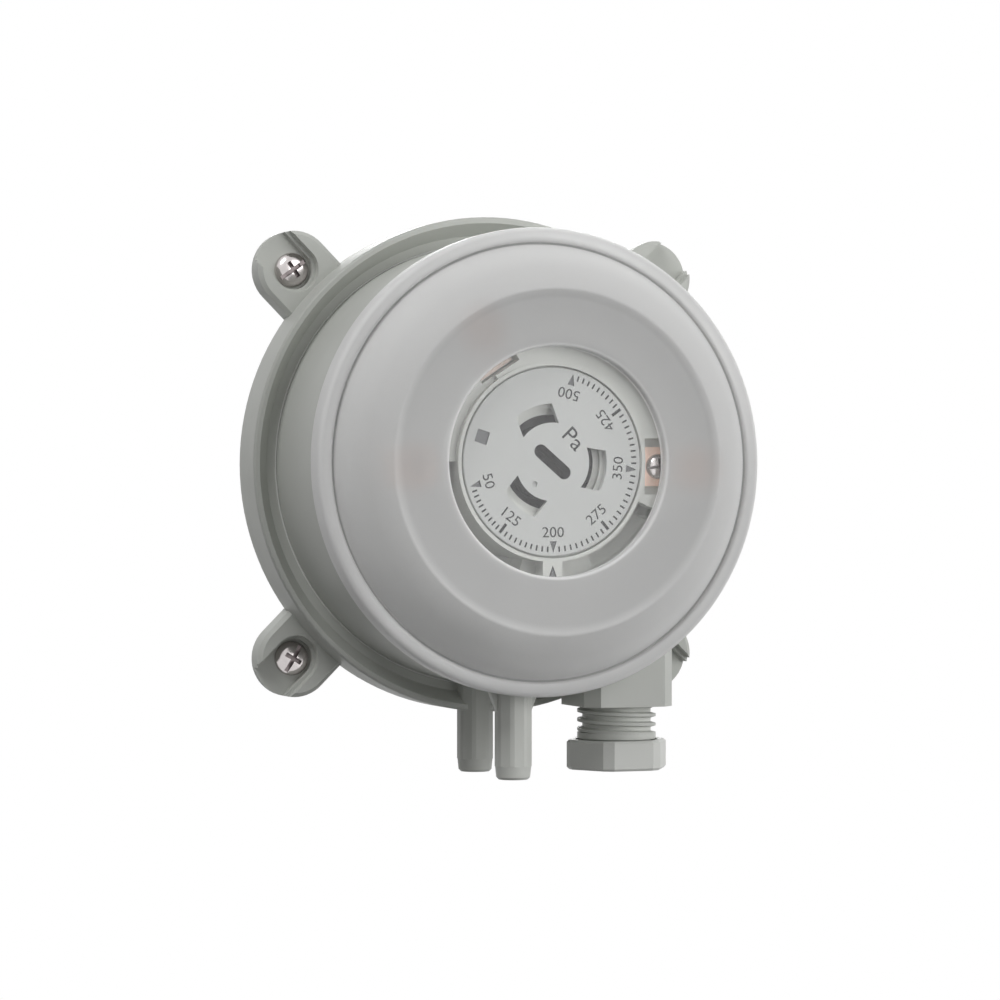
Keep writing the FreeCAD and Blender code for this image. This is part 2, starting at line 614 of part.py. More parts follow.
pocket(base, "rear_recess", circles(base, "rear_recess_circle", "XY_Plane", [
    (0, 0, s.rear_recess_radius), (0, 0, s.rear_island_radius)]), s.rear_recess_depth, True)
pocket(base, "rear_connector_bore", circles(base, "rear_bore_circle", "XZ_Plane", [
    (s.barb_x, s.rear_barb_height, s.barb_bore)], (0, 0, s.barb_end)), s.barb_end - cup_inner + s.cup_wall)
dress("Fillet", base, "ring_rounding", s.flange_edge_round, ring_at(s.flange_radius, s.flange_height))


def ear_edge(edge):
    if not all(near(vertex.Z, s.ear_height) for vertex in edge.Vertexes):
        return False
    middle = edge.valueAt((edge.FirstParameter + edge.LastParameter) / 2)
    across, along = abs(middle.x), abs(middle.y)
    beside = abs(across - along) / math.sqrt(2)
    beyond = (across + along) / math.sqrt(2) - ear_distance.number
    on_end = beyond > 0 and near(math.hypot(beside, beyond), s.ear_radius)
    return near(middle.z, s.ear_height) and (near(beside, s.ear_radius) or on_end)


dress("Chamfer", base, "ear_bevels", s.ear_bevel, ear_edge)

# Upper housing: skirt, rim, gland boss with neck, dial tower and deck.
main = new_body("main_housing")
turned(main, "main_form", outline(main, "main_profile", "XZ_Plane", [
    (0, s.seat_height), (s.body_radius, s.seat_height), (s.body_radius, shoulder_top),
    (s.rim_radius, shoulder_top), (s.rim_radius, s.rim_top), (s.bezel_radius, s.rim_top),
    (s.bezel_radius, s.bezel_height), (0, s.bezel_height)]))
half_width, half_depth = s.boss_width / 2, s.boss_depth / 2
pad(main, "gland_boss", outline(main, "gland_boss_section", "XZ_Plane", [
    (s.boss_corner - half_width, -half_depth), (half_width - s.boss_corner, -half_depth),
    (half_width, s.boss_corner - half_depth), (half_width, half_depth - s.boss_corner),
    (half_width - s.boss_corner, half_depth), (s.boss_corner - half_width, half_depth),
    (-half_width, half_depth - s.boss_corner), (-half_width, s.boss_corner - half_depth)],
    (s.gland_x, s.gland_height, s.boss_end)), s.boss_end - s.gland_x, True)
gusset = s.barb_radius + s.gusset_reach
pad(main, "gussets", outline(main, "gusset_outline", "XY_Plane", [
    (s.barb_x - gusset, -cup_outer), (s.barb_x - s.barb_flat, -s.gusset_drop),
    (s.barb_x + s.barb_flat, -s.gusset_drop), (s.barb_x + gusset, -cup_outer)],
    (0, 0, s.front_barb_height - s.gusset_thick / 2)), s.gusset_thick)
hose_connector(main, "front_connector", s.front_barb_height, cup_outer)
pad(main, "gland_neck", circles(main, "neck_circle", "XZ_Plane", [(s.gland_x, s.gland_height, s.neck_radius)],
    (0, 0, s.boss_end)), s.neck_end - s.boss_end)
pad(main, "gland_collar", circles(main, "collar_circle", "XZ_Plane", [
    (s.gland_x, s.gland_height, s.neck_collar_radius)], (0, 0, s.neck_collar_start)),
    s.neck_collar_end - s.neck_collar_start)
grooved(main, "wiring_space", outline(main, "wiring_profile", "XZ_Plane", [
    (s.bezel_radius, deck_top), (chamber_outer, deck_top), (chamber_outer, trough_floor),
    (trough_radius, trough_floor), (trough_radius, s.rim_top + s.boss_depth), (s.bezel_radius, s.rim_top + s.boss_depth)]))
grooved(main, "under_space", outline(main, "under_profile", "XZ_Plane", [
    (0, 0), (trough_radius, 0), (trough_radius, clamp_top), (s.chamber_radius, clamp_top),
    (s.chamber_radius, s.chamber_top), (tower_inner, s.chamber_top), (tower_inner, seat_bottom),
    (s.sleeve_radius + s.sleeve_wall, seat_bottom), (s.sleeve_radius + s.sleeve_wall, s.sleeve_bottom),
    (s.sleeve_radius, s.sleeve_bottom), (s.sleeve_radius, bearing_bottom), (shaft_hole, bearing_bottom),
    (shaft_hole, s.bearing_top), (s.throat_radius, s.bearing_top), (s.throat_radius, s.seat_plate_top - s.step_depth),
    (s.step_radius, s.seat_plate_top - s.step_depth), (s.step_radius, s.seat_plate_top),
    (s.bezel_radius - s.bezel_wall, s.seat_plate_top), (s.bezel_radius - s.bezel_wall, s.bezel_height * 2),
    (0, s.bezel_height * 2)]))
seal_outer = s.rim_radius - s.seal_groove_inset
seal_inner = seal_outer - s.seal_groove_width
grooved(main, "seal_groove", outline(main, "seal_groove_profile", "XZ_Plane", [
    (seal_inner, s.rim_top - s.seal_groove_depth), (seal_outer, s.rim_top - s.seal_groove_depth),
    (seal_outer, s.rim_top * 2), (seal_inner, s.rim_top * 2)]))


# An annular sector between two radii and two angles.
def sector(body, name, inner, outer, start, end, height):
    middle = (start + end) / 2
    spots = [(inner, start), (outer, start), (outer, middle), (outer, end), (inner, end), (inner, middle)]
    bends = [None, outer, outer, None, -inner, -inner]
    corners = []
    for (radius, angle), bend in zip(spots, bends):
        place = (radius * cosine(angle), radius * sine(angle))
        corners.append(place if bend is None else place + (bend,))
    return outline(body, name, "XY_Plane", corners, (0, 0, height))


tower_bite = s.bezel_radius - s.bezel_wall / 2
low_bite = s.bezel_radius - s.tower_wall / 2
pad(main, "shelf_wall", sector(main, "shelf_wall_outline", s.shelf_radius - s.shelf_wall, s.shelf_radius,
    s.shelf_start, s.shelf_end, s.chamber_top + s.deck / 2), s.shelf_height - s.chamber_top - s.deck / 2)
pad(main, "shelf", sector(main, "shelf_outline", tower_bite, s.shelf_radius - s.shelf_wall / 2,
    s.shelf_start, s.shelf_end, s.shelf_height), s.shelf_thick, True)
pad(main, "side_shelf_wall", sector(main, "side_shelf_wall_outline", s.shelf_radius - s.shelf_wall, s.shelf_radius,
    s.shelf_end - 1, s.side_shelf_end, s.chamber_top + s.deck / 2), side_shelf_height - s.chamber_top - s.deck / 2)
pad(main, "side_shelf", sector(main, "side_shelf_outline", tower_bite, s.shelf_radius - s.shelf_wall / 2,
    s.shelf_end - 1, s.side_shelf_end, side_shelf_height), s.shelf_thick, True)
pad(main, "low_shelf", sector(main, "low_shelf_outline", low_bite, s.shelf_radius, s.low_shelf_start,
    s.low_shelf_end, s.chamber_top + s.deck / 2), s.low_shelf_height - s.chamber_top - s.deck / 2)
pad(main, "pointer_tab", outline(main, "pointer_outline", "XY_Plane", [
    (-s.pointer_width / 2, -s.pointer_reach), (s.pointer_width / 2, -s.pointer_reach),
    (s.pointer_width / 2, -tower_bite), (-s.pointer_width / 2, -tower_bite)], (0, 0, s.bezel_height)),
    s.bezel_height - s.low_shelf_height + s.fit_gap, True)

# Terminal blocks: a floor for each terminal between two ribs.
for name, angle, start, screw_place, margin in terminal_places:
    side = s.terminal_side
    recess_half = s.terminal_width / 2 + margin
    block_start = start - s.terminal_rib if name == "no" else low_bite
    cut_start = s.bezel_radius if name == "common" else start - s.fit_gap
    block = [(block_start, side - recess_half - s.terminal_rib), (block_end, side - recess_half - s.terminal_rib),
             (block_end, side + recess_half + s.terminal_rib), (block_start, side + recess_half + s.terminal_rib)]
    top = s.shelf_height if name == "common" else s.terminal_rib_height
    pad(main, "block_" + name, outline(main, "block_outline_" + name, "XY_Plane", block,
        (0, 0, s.chamber_top + s.deck / 2), turn=angle), top - s.chamber_top - s.deck / 2)
    pocket(main, "recess_" + name, outline(main, "recess_outline_" + name, "XY_Plane", [
        (cut_start, side - recess_half), (block_end + s.fit_gap, side - recess_half),
        (block_end + s.fit_gap, side + recess_half), (cut_start, side + recess_half)],
        (0, 0, s.shelf_height + s.fit_gap), turn=angle), s.shelf_height + s.fit_gap - s.terminal_floor)
    pocket(main, "terminal_hole_" + name, circles(main, "terminal_hole_circle_" + name, "XY_Plane", [
        (screw_place, side, s.terminal_screw_shank + s.screw_gap)], (0, 0, s.terminal_floor), turn=angle),
        s.terminal_screw_length)

# Pressure way from the front connector into the tower, and the cable's way in.
pad(main, "pressure_tube", circles(main, "pressure_tube_circle", "XZ_Plane", [
    (s.barb_x, s.front_barb_height, s.barb_bore + s.cup_wall)], (0, 0, s.body_radius - s.body_wall / 2)),
    s.body_radius - s.body_wall / 2 - low_bite, True)
pocket(main, "pressure_bore", circles(main, "pressure_bore_circle", "XZ_Plane", [
    (s.barb_x, s.front_barb_height, s.barb_bore)], (0, 0, s.barb_end)), s.barb_end - tower_inner + s.tower_wall)
pocket(main, "cable_bore", circles(main, "cable_bore_circle", "XZ_Plane", [
    (s.gland_x, s.gland_height, s.neck_bore)], (0, 0, s.neck_end)), s.neck_end - chamber_outer + s.fit_gap * 2)
pocket(main, "gland_mouth", circles(main, "gland_mouth_circle", "XZ_Plane", [
    (s.gland_x, s.gland_height, s.neck_mouth)], (0, 0, s.neck_end)), s.neck_mouth_depth)
pad(main, "main_screw_bosses", circles(main, "main_boss_circles", "XY_Plane", [
    (x, y, s.housing_screw_boss) for x, y in screw_spots], (0, 0, trough_floor - s.partition / 2)),
    s.housing_boss_top - trough_floor + s.partition / 2)
pocket(main, "main_screw_holes", circles(main, "main_screw_circles", "XY_Plane", [
    (x, y, screw_hole) for x, y in screw_spots], (0, 0, clamp_top)), s.housing_screw_end + s.fit_gap - clamp_top, True)
notch_half = s.barb_radius + s.fit_gap
pocket(main, "rear_connector_notch", outline(main, "notch_outline", "XZ_Plane", [
    (s.barb_x - notch_half, 0), (s.barb_x + notch_half, 0),
    (s.barb_x + notch_half, s.rear_barb_height, notch_half), (s.barb_x, s.rear_barb_height + notch_half, notch_half),
    (s.barb_x - notch_half, s.rear_barb_height)], (0, 0, s.flange_radius)),
    s.flange_radius - trough_radius + s.body_wall)

# Cover: one moulding with a bead, a domed shoulder and a sunk window.
cover = new_body("cover")
ledge_inside = s.rim_top + s.fit_gap
turned(cover, "cover_form", outline(cover, "cover_profile", "XZ_Plane", [
    (inner_radius, s.cover_lip), (s.cover_radius, s.cover_lip), (s.cover_radius, s.bead_start, s.bead_height - s.bead_start + 0.2),
    (s.bead_radius, s.bead_height), (s.crease_radius + 0.25, s.crease_height), (s.crease_radius, s.crease_height, s.shoulder_curve),
    (s.shoulder_radius, s.shoulder_height), (s.dish_radius, s.dish_height), (s.pane_radius + s.pane_lip, s.dish_height),
    (s.pane_radius, s.dish_height - s.pane_lip), (s.pane_radius, s.pane_height), (0, s.pane_height),
    (0, s.pane_height - s.pane_thick), (s.pane_radius + s.cover_wall, s.pane_height - s.pane_thick),
    (s.pane_radius + s.cover_wall, s.dish_height - s.cover_wall), (s.dish_radius, s.dish_height - s.cover_wall),
    (s.shoulder_radius - 0.2, s.shoulder_height - s.cover_wall, 0 - s.shoulder_curve),
    (s.crease_radius - s.cover_wall, ledge_inside), (inner_radius, ledge_inside)]))

# Seal between rim and cover.
seal = new_body("cover_seal")
turned(seal, "seal_form", outline(seal, "seal_profile", "XZ_Plane", [
    (seal_inner + 0.1, s.rim_top - s.seal_groove_depth), (seal_outer - 0.1, s.rim_top - s.seal_groove_depth),
    (seal_outer - 0.1, s.rim_top + s.fit_gap / 3), (seal_inner + 0.1, s.rim_top + s.fit_gap / 3)]))

# Dial: thin disc on a hub, with a shaft that carries the adjusting thread.
dial = new_body("setting_dial")
hub_bottom = s.bearing_top + s.fit_gap
turned(dial, "dial_form", outline(dial, "dial_profile", "XZ_Plane", [
    (0, s.shaft_bottom), (s.shaft_radius, s.shaft_bottom), (s.shaft_radius, hub_bottom), (s.hub_radius, hub_bottom),
    (s.hub_radius, dial_back), (dial_radius, dial_back), (dial_radius, s.dial_face), (0, s.dial_face)]))
slot_end, slot_half = s.slot_length / 2, s.slot_width / 2
pocket(dial, "driver_slot", outline(dial, "driver_slot_outline", "XY_Plane", [
    (-slot_end, -slot_half), (slot_end, -slot_half, slot_half), (slot_end + slot_half, 0, slot_half),
    (slot_end, slot_half), (-slot_end, slot_half, slot_half), (-slot_end - slot_half, 0, slot_half)],
    (0, 0, s.dial_face), turn=s.slot_angle), s.slot_depth)
half = s.window_width / 2
inner_along = Size(math.sqrt(s.window_inner.number ** 2 - half.number ** 2),
                   "sqrt(Sizes.window_inner ^ 2 - (Sizes.window_width / 2) ^ 2)")
outer_along = Size(math.sqrt(s.window_outer.number ** 2 - half.number ** 2),
                   "sqrt(Sizes.window_outer ^ 2 - (Sizes.window_width / 2) ^ 2)")
opening = pocket(dial, "dial_opening", outline(dial, "dial_opening_outline", "XY_Plane", [
    (inner_along, -half), (outer_along, -half, s.window_outer), (outer_along, half),
    (inner_along, half, -s.window_inner)], (0, 0, s.dial_face), turn=s.window_angle), s.dial_thick)
around(dial, "dial_openings", [opening], 3)
pocket(dial, "dial_dimple", circles(dial, "dimple_circle", "XY_Plane", [
    (s.dimple_x, s.dimple_y, s.dimple_radius)], (0, 0, s.dial_face)), s.dial_thick / 3)
dress("Fillet", dial, "dial_rounding", s.dial_edge_round, ring_at(dial_radius, s.dial_face))

# Spring seat on the shaft's thread, spring, plate and diaphragm.
seat = new_body("spring_seat")
turned(seat, "seat_form", outline(seat, "seat_profile", "XZ_Plane", [
    (shaft_hole, s.spring_seat_height), (s.spring_seat_radius, s.spring_seat_height),
    (s.spring_seat_radius, s.spring_seat_height + s.spring_seat_thick),
    (shaft_hole, s.spring_seat_height + s.spring_seat_thick)]))

spring = new_body("range_spring")
spring_low = s.plate_boss_height + s.spring_end_gap + s.spring_wire
spring_rise = s.spring_seat_height - s.spring_end_gap - s.spring_wire - spring_low
coil = spring.newObject("PartDesign::AdditiveHelix", "coil")
coil.Profile = circles(spring, "wire_section", "XZ_Plane", [(s.spring_radius, spring_low, s.spring_wire)])
coil.ReferenceAxis = (coil.Profile[0], ["V_Axis"])
coil.Mode = "height-turns-angle"
coil.Height = spring_rise.number
coil.Turns = s.spring_turns.number
coil.setExpression("Height", spring_rise.formula)
coil.setExpression("Turns", s.spring_turns.formula)

plate = new_body("diaphragm_plate")
plunger_top = s.lever_height - s.contact_gap
turned(plate, "plate_form", outline(plate, "plate_profile", "XZ_Plane", [
    (0, plate_low), (s.plate_radius, plate_low), (s.plate_radius, plate_low + s.plate_thick * 1.5),
    (s.plate_radius - s.plate_thick, plate_low + s.plate_thick * 1.5),
    (s.plate_radius - s.plate_thick, plate_low + s.plate_thick), (s.plate_boss_radius, plate_low + s.plate_thick),
    (s.plate_boss_radius, s.plate_boss_height), (s.plate_pin_radius, s.plate_boss_height),
    (s.plate_pin_radius, s.plate_pin_height), (0, s.plate_pin_height)]))
pad(plate, "plunger", circles(plate, "plunger_circle", "XY_Plane", [(s.lever_x, 0, s.plunger_radius)],
    (0, 0, plate_low)), plunger_top - plate_low)

rubber = new_body("diaphragm")
web_low = web_top - s.web_thick
fold_middle = (s.web_fold_inner + s.web_fold_outer) / 2
fold_low = web_low - s.web_fold_depth
turned(rubber, "diaphragm_form", outline(rubber, "diaphragm_profile", "XZ_Plane", [
    (0, web_low), (s.web_fold_inner, web_low), (s.web_fold_inner + s.web_thick, fold_low),
    (s.web_fold_outer - s.web_thick, fold_low), (s.web_fold_outer, web_low), (s.chamber_radius, cup_top),
    (cup_outer - s.fit_gap, cup_top), (cup_outer - s.fit_gap, clamp_top), (s.chamber_radius, clamp_top),
    (s.web_fold_outer - s.web_thick, web_top), (s.web_fold_outer - s.web_thick * 2, fold_low + s.web_thick),
    (s.web_fold_inner + s.web_thick * 2, fold_low + s.web_thick), (s.web_fold_inner + s.web_thick, web_top), (0, web_top)]))
pocket(rubber, "diaphragm_holes", circles(rubber, "diaphragm_hole_circles", "XY_Plane", [
    (x, y, screw_hole + s.screw_gap) for x, y in screw_spots], (0, 0, clamp_top)), s.diaphragm_thick)

# Contacts: carrier under the deck, lever on its pin, two fixed contacts.
carrier = new_body("contact_carrier")
lever_half = s.lever_width / 2
cheek_in = lever_half + s.fit_gap
pivot_height = s.lever_height + s.lever_thick / 2
carrier_low = s.chamber_top - s.carrier_thick
pad(carrier, "carrier_plate", outline(carrier, "carrier_outline", "XY_Plane", [
    (s.lever_x - cheek_out, s.lever_pivot - s.lever_eye), (s.lever_x + cheek_out, s.lever_pivot - s.lever_eye),
    (s.lever_x + cheek_out, s.carrier_end), (s.lever_x - cheek_out, s.carrier_end)], (0, 0, carrier_low)), s.carrier_thick)
for name, start in (("left", s.lever_x - cheek_out), ("right", s.lever_x + cheek_in)):
    pad(carrier, "cheek_" + name, outline(carrier, "cheek_outline_" + name, "XY_Plane", [
        (start, s.lever_pivot - s.lever_eye), (start + s.cheek_thick, s.lever_pivot - s.lever_eye),
        (start + s.cheek_thick, s.lever_pivot + s.lever_eye), (start, s.lever_pivot + s.lever_eye)],
        (0, 0, s.cheek_drop)), carrier_low - s.cheek_drop)
pocket(carrier, "pivot_hole", circles(carrier, "pivot_hole_circle", "YZ_Plane", [
    (s.lever_pivot, pivot_height, s.pivot_radius)], (0, 0, s.lever_x + cheek_out)), cheek_out * 2)

pin = new_body("lever_pivot_pin")
pad(pin, "pin_form", circles(pin, "pin_circle", "YZ_Plane", [(s.lever_pivot, pivot_height, s.pivot_radius)],
    (0, 0, s.lever_x - cheek_out)), cheek_out * 2)

lever = new_body("contact_lever")
pad(lever, "lever_strip", outline(lever, "lever_outline", "XY_Plane", [
    (s.lever_x - lever_half, s.lever_pivot), (s.lever_x + lever_half, s.lever_pivot),
    (s.lever_x + lever_half, s.lever_tip), (s.lever_x - lever_half, s.lever_tip)], (0, 0, s.lever_height)), s.lever_thick)
pad(lever, "lever_eye_form", circles(lever, "eye_circle", "YZ_Plane", [(s.lever_pivot, pivot_height, s.lever_eye)],
    (0, 0, s.lever_x - lever_half)), s.lever_width)
pocket(lever, "lever_bore", circles(lever, "lever_bore_circle", "YZ_Plane", [
    (s.lever_pivot, pivot_height, s.pivot_radius + s.running_gap)], (0, 0, s.lever_x + lever_half)), s.lever_width)

contact_start = s.carrier_end - s.contact_reach
contact_button = contact_start + s.button_radius * 1.5


def contact(name, low, button_from, drops):
    body = new_body(name)
    foot_end = s.carrier_end + s.contact_thick if drops else s.carrier_end - s.fit_gap
    pad(body, name + "_foot", outline(body, name + "_foot_outline", "XY_Plane", [
        (s.lever_x - lever_half, contact_start), (s.lever_x + lever_half, contact_start),
        (s.lever_x + lever_half, foot_end), (s.lever_x - lever_half, foot_end)],
        (0, 0, low)), s.contact_thick)
    pad(body, name + "_button", circles(body, name + "_button_circle", "XY_Plane", [
        (s.lever_x, contact_button, s.button_radius)], (0, 0, button_from)), s.button_rise + s.contact_thick / 2)
    if drops:
        pad(body, name + "_leg", outline(body, name + "_leg_outline", "XY_Plane", [
            (s.lever_x - lever_half, s.carrier_end), (s.lever_x + lever_half, s.carrier_end),
            (s.lever_x + lever_half, s.carrier_end + s.contact_thick), (s.lever_x - lever_half, s.carrier_end + s.contact_thick)],
            (0, 0, low)), s.chamber_top - low)
    return body


nc_top = s.lever_height - s.contact_gap - s.button_rise
contact("fixed_contact_nc", nc_top - s.contact_thick, nc_top - s.contact_thick / 2, True)
contact("fixed_contact_no", carrier_low - s.contact_thick, carrier_low - s.contact_thick - s.button_rise, False)

# Terminals and their screws.
for name, angle, start, screw_place, _ in terminal_places:
    strip = new_body("terminal_" + name)
    side, wide = s.terminal_side, s.terminal_width / 2
    bend = block_end + s.fit_gap + s.terminal_thick
    pad(strip, "strip", outline(strip, "strip_outline", "XY_Plane", [
        (start, side - wide), (bend, side - wide), (bend, side + wide), (start, side + wide)],
        (0, 0, s.terminal_floor), turn=angle), s.terminal_thick)
    pad(strip, "leg", outline(strip, "leg_outline", "XY_Plane", [
        (bend - s.terminal_thick, side - wide), (bend, side - wide), (bend, side + wide),
        (bend - s.terminal_thick, side + wide)], (0, 0, s.terminal_floor - s.terminal_drop), turn=angle), s.terminal_drop)
    pocket(strip, "strip_hole", circles(strip, "strip_hole_circle", "XY_Plane", [
        (screw_place, side, s.terminal_screw_shank + s.screw_gap)],
        (0, 0, s.terminal_floor + s.terminal_thick), turn=angle), s.terminal_thick)
    screw = new_body("terminal_screw_" + name)
    under = s.terminal_floor + s.terminal_thick
    spot = (screw_place * cosine(angle) - side * sine(angle),
            screw_place * sine(angle) + side * cosine(angle))
    pad(screw, "head", circles(screw, "head_circle", "XY_Plane", [spot + (s.terminal_screw_head,)],
        (0, 0, under)), s.terminal_screw_rise)
    pad(screw, "shank", circles(screw, "shank_circle", "XY_Plane", [spot + (s.terminal_screw_shank,)],
        (0, 0, under)), s.terminal_screw_length - s.fit_gap, True)
    dress("Fillet", screw, "head_rounding", s.terminal_screw_rise * 0.45, lambda edge: (
        near(edge.Vertexes[0].Z, under + s.terminal_screw_rise) and isinstance(edge.Curve, Part.Circle)
        and near(edge.Curve.Radius, s.terminal_screw_head)))

# Gland: seal in the neck's mouth, thrust ring and hexagonal nut.
gland_seal = new_body("gland_seal")
seal_start = s.neck_end - s.neck_mouth_depth
ring_end = s.nut_end - s.nut_floor - s.fit_gap / 3
pad(gland_seal, "gland_seal_form", circles(gland_seal, "gland_seal_circles", "XZ_Plane", [
    (s.gland_x, s.gland_height, s.neck_mouth - s.screw_gap), (s.gland_x, s.gland_height, s.seal_hole)],
    (0, 0, seal_start)), ring_end - s.ring_thick - s.fit_gap - seal_start)
thrust = new_body("gland_thrust_ring")
pad(thrust, "thrust_ring_form", circles(thrust, "thrust_ring_circles", "XZ_Plane", [
    (s.gland_x, s.gland_height, s.nut_bore - s.fit_gap), (s.gland_x, s.gland_height, s.ring_hole)],
    (0, 0, ring_end - s.ring_thick)), s.ring_thick)
nut = new_body("gland_nut")
flat = s.nut_across_flats / 2
side_half = flat * math.tan(math.radians(30)) - s.nut_corner
corners = []
for index in range(6):
    angle = 60 * index - 90
    for sign in (-1, 1):
        corners.append((flat * cosine(angle) - side_half * sign * sine(angle),
                        flat * sine(angle) + side_half * sign * cosine(angle)))
pad(nut, "nut_form", outline(nut, "nut_section", "XZ_Plane", corners, (s.gland_x, s.gland_height, s.nut_start)),
    s.nut_end - s.nut_start)
pocket(nut, "nut_inside", circles(nut, "nut_inside_circle", "XZ_Plane", [(s.gland_x, s.gland_height, s.nut_bore)],
    (0, 0, s.nut_start)), s.nut_end - s.nut_start - s.nut_floor, True)
pocket(nut, "nut_way", circles(nut, "nut_way_circle", "XZ_Plane", [(s.gland_x, s.gland_height, s.nut_hole)],
    (0, 0, s.nut_end)), s.nut_floor)
dress("Chamfer", nut, "nut_bevel", s.nut_edge_bevel, lambda edge: (
    len(edge.Vertexes) == 2 and all(near(-vertex.Y, s.nut_start) or near(-vertex.Y, s.nut_end) for vertex in edge.Vertexes)
    and near(edge.Vertexes[0].Y, edge.Vertexes[1].Y) and isinstance(edge.Curve, Part.Line)))

# Screws through the ears and screws that join the housings from the back.
for name, up in (("upper", 1), ("lower", -1)):
    screw = new_body("fixing_screw_" + name)
    spot = (-s.ear_offset, s.ear_offset * up)
    turned(screw, "stem", outline(screw, "stem_profile", "XZ_Plane", [
        (0, -s.fixing_reach), (s.fixing_shank, -s.fixing_reach), (s.fixing_shank, -s.fixing_neck_past),
        (s.fixing_neck, s.ear_floor), (0, s.ear_floor)], (spot[0], 0, -spot[1])))
    pad(screw, "head", circles(screw, "head_circle", "XY_Plane", [spot + (s.fixing_head,)], (0, 0, s.ear_floor)), s.fixing_rise)
    dress("Fillet", screw, "head_rounding", s.fixing_rise * 0.6, lambda edge: (
        near(edge.Vertexes[0].Z, s.ear_floor + s.fixing_rise) and near(edge.Curve.Radius, s.fixing_head)
        if isinstance(edge.Curve, Part.Circle) else False))
for index, (x, y) in enumerate(screw_spots, start=1):
    screw = new_body("housing_screw_%d" % index)
    pad(screw, "head", circles(screw, "head_circle", "XY_Plane", [(x, y, s.housing_screw_head)],
        (0, 0, s.housing_screw_sunk)), s.housing_screw_rise)
    pad(screw, "shank", circles(screw, "shank_circle", "XY_Plane", [(x, y, s.housing_screw_shank)],
        (0, 0, counterbore)), s.housing_screw_end - counterbore)

# Everything is worked out, checked and written.
doc.recompute()
for item in doc.Objects:
    if "Invalid" in item.State or "Error" in item.State:
        raise RuntimeError("%s failed: %s" % (item.Label, item.State))
pieces = [item for item in doc.Objects if item.TypeId == "PartDesign::Body"]
os.makedirs("parts", exist_ok=True)
for piece in pieces:
    shape = piece.Shape
    if shape.isNull() or not shape.isValid() or len(shape.Solids) != 1:
        raise RuntimeError("%s is no single valid solid" % piece.Label)
for piece in pieces:
    piece.Shape.exportStep(os.path.join("parts", piece.Label + ".step"))
print(len(pieces), "pieces written")
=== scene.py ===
import math

import bmesh
import bpy
from mathutils import Matrix, Vector


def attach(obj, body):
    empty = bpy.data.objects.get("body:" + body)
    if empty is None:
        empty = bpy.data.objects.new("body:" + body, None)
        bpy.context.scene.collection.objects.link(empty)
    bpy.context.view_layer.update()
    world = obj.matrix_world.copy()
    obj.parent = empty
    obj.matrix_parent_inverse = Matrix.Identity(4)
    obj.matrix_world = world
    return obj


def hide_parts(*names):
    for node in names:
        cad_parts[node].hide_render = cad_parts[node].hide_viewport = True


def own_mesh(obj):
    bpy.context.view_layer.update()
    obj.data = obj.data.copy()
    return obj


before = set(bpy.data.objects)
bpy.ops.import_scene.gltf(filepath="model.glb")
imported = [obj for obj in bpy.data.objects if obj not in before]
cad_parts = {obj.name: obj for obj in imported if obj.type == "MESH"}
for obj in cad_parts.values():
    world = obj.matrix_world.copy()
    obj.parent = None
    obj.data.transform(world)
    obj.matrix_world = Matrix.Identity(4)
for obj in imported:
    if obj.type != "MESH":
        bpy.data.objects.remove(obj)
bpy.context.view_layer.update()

MM = 0.001
scene = bpy.context.scene


# Places are given in millimetres as on a drawing: x to the right, y up the wall
# and h the height above the wall.
def spot(x, y, h):
    return Vector((x * MM, -h * MM, y * MM))


# A flat point turned round by an angle in radians and moved to a centre.
def turned(x, y, angle, centre=(0.0, 0.0)):
    cosine = math.cos(angle)
    sine = math.sin(angle)
    return centre[0] + x * cosine - y * sine, centre[1] + x * sine + y * cosine


# The node tree of a material or of the world.
class Tree:
    def __init__(self, tree):
        self.tree = tree

    def node(self, kind, **inputs):
        made = self.tree.nodes.new(kind)
        for name, value in inputs.items():
            made.inputs[name].default_value = value
        return made

    def link(self, source, target):
        self.tree.links.new(source, target)

    # A calculation on two values, each of them a socket or a number.
    def maths(self, operation, first, second):
        node = self.node("ShaderNodeMath")
        node.operation = operation
        for target, value in zip(node.inputs, (first, second)):
            if isinstance(value, bpy.types.NodeSocket):
                self.link(value, target)
            else:
                target.default_value = value
        return node.outputs["Value"]

    # Two shaders, mixed by a share from 0 to 1, go to the named output node.
    def mix_shaders(self, share, first, second, output):
        mix = self.node("ShaderNodeMixShader")
        self.link(share, mix.inputs["Fac"])
        self.link(first, mix.inputs[1])
        self.link(second, mix.inputs[2])
        self.link(mix.outputs["Shader"], self.tree.nodes[output].inputs["Surface"])

    # The camera, glass and metal see the white shader, and all other light meets the first one.
    def white_when_seen(self, shader, white, output):
        path = self.node("ShaderNodeLightPath")
        seen = path.outputs["Is Camera Ray"]
        for ray in ("Is Transmission Ray", "Is Glossy Ray"):
            seen = self.maths("MAXIMUM", seen, path.outputs[ray])
        self.mix_shaders(seen, shader, white, output)


# The sockets of a Mix node that carry its share and its colours.
MIX_SHARE, MIX_BELOW, MIX_OVER, MIX_RESULT = 0, 6, 7, 2


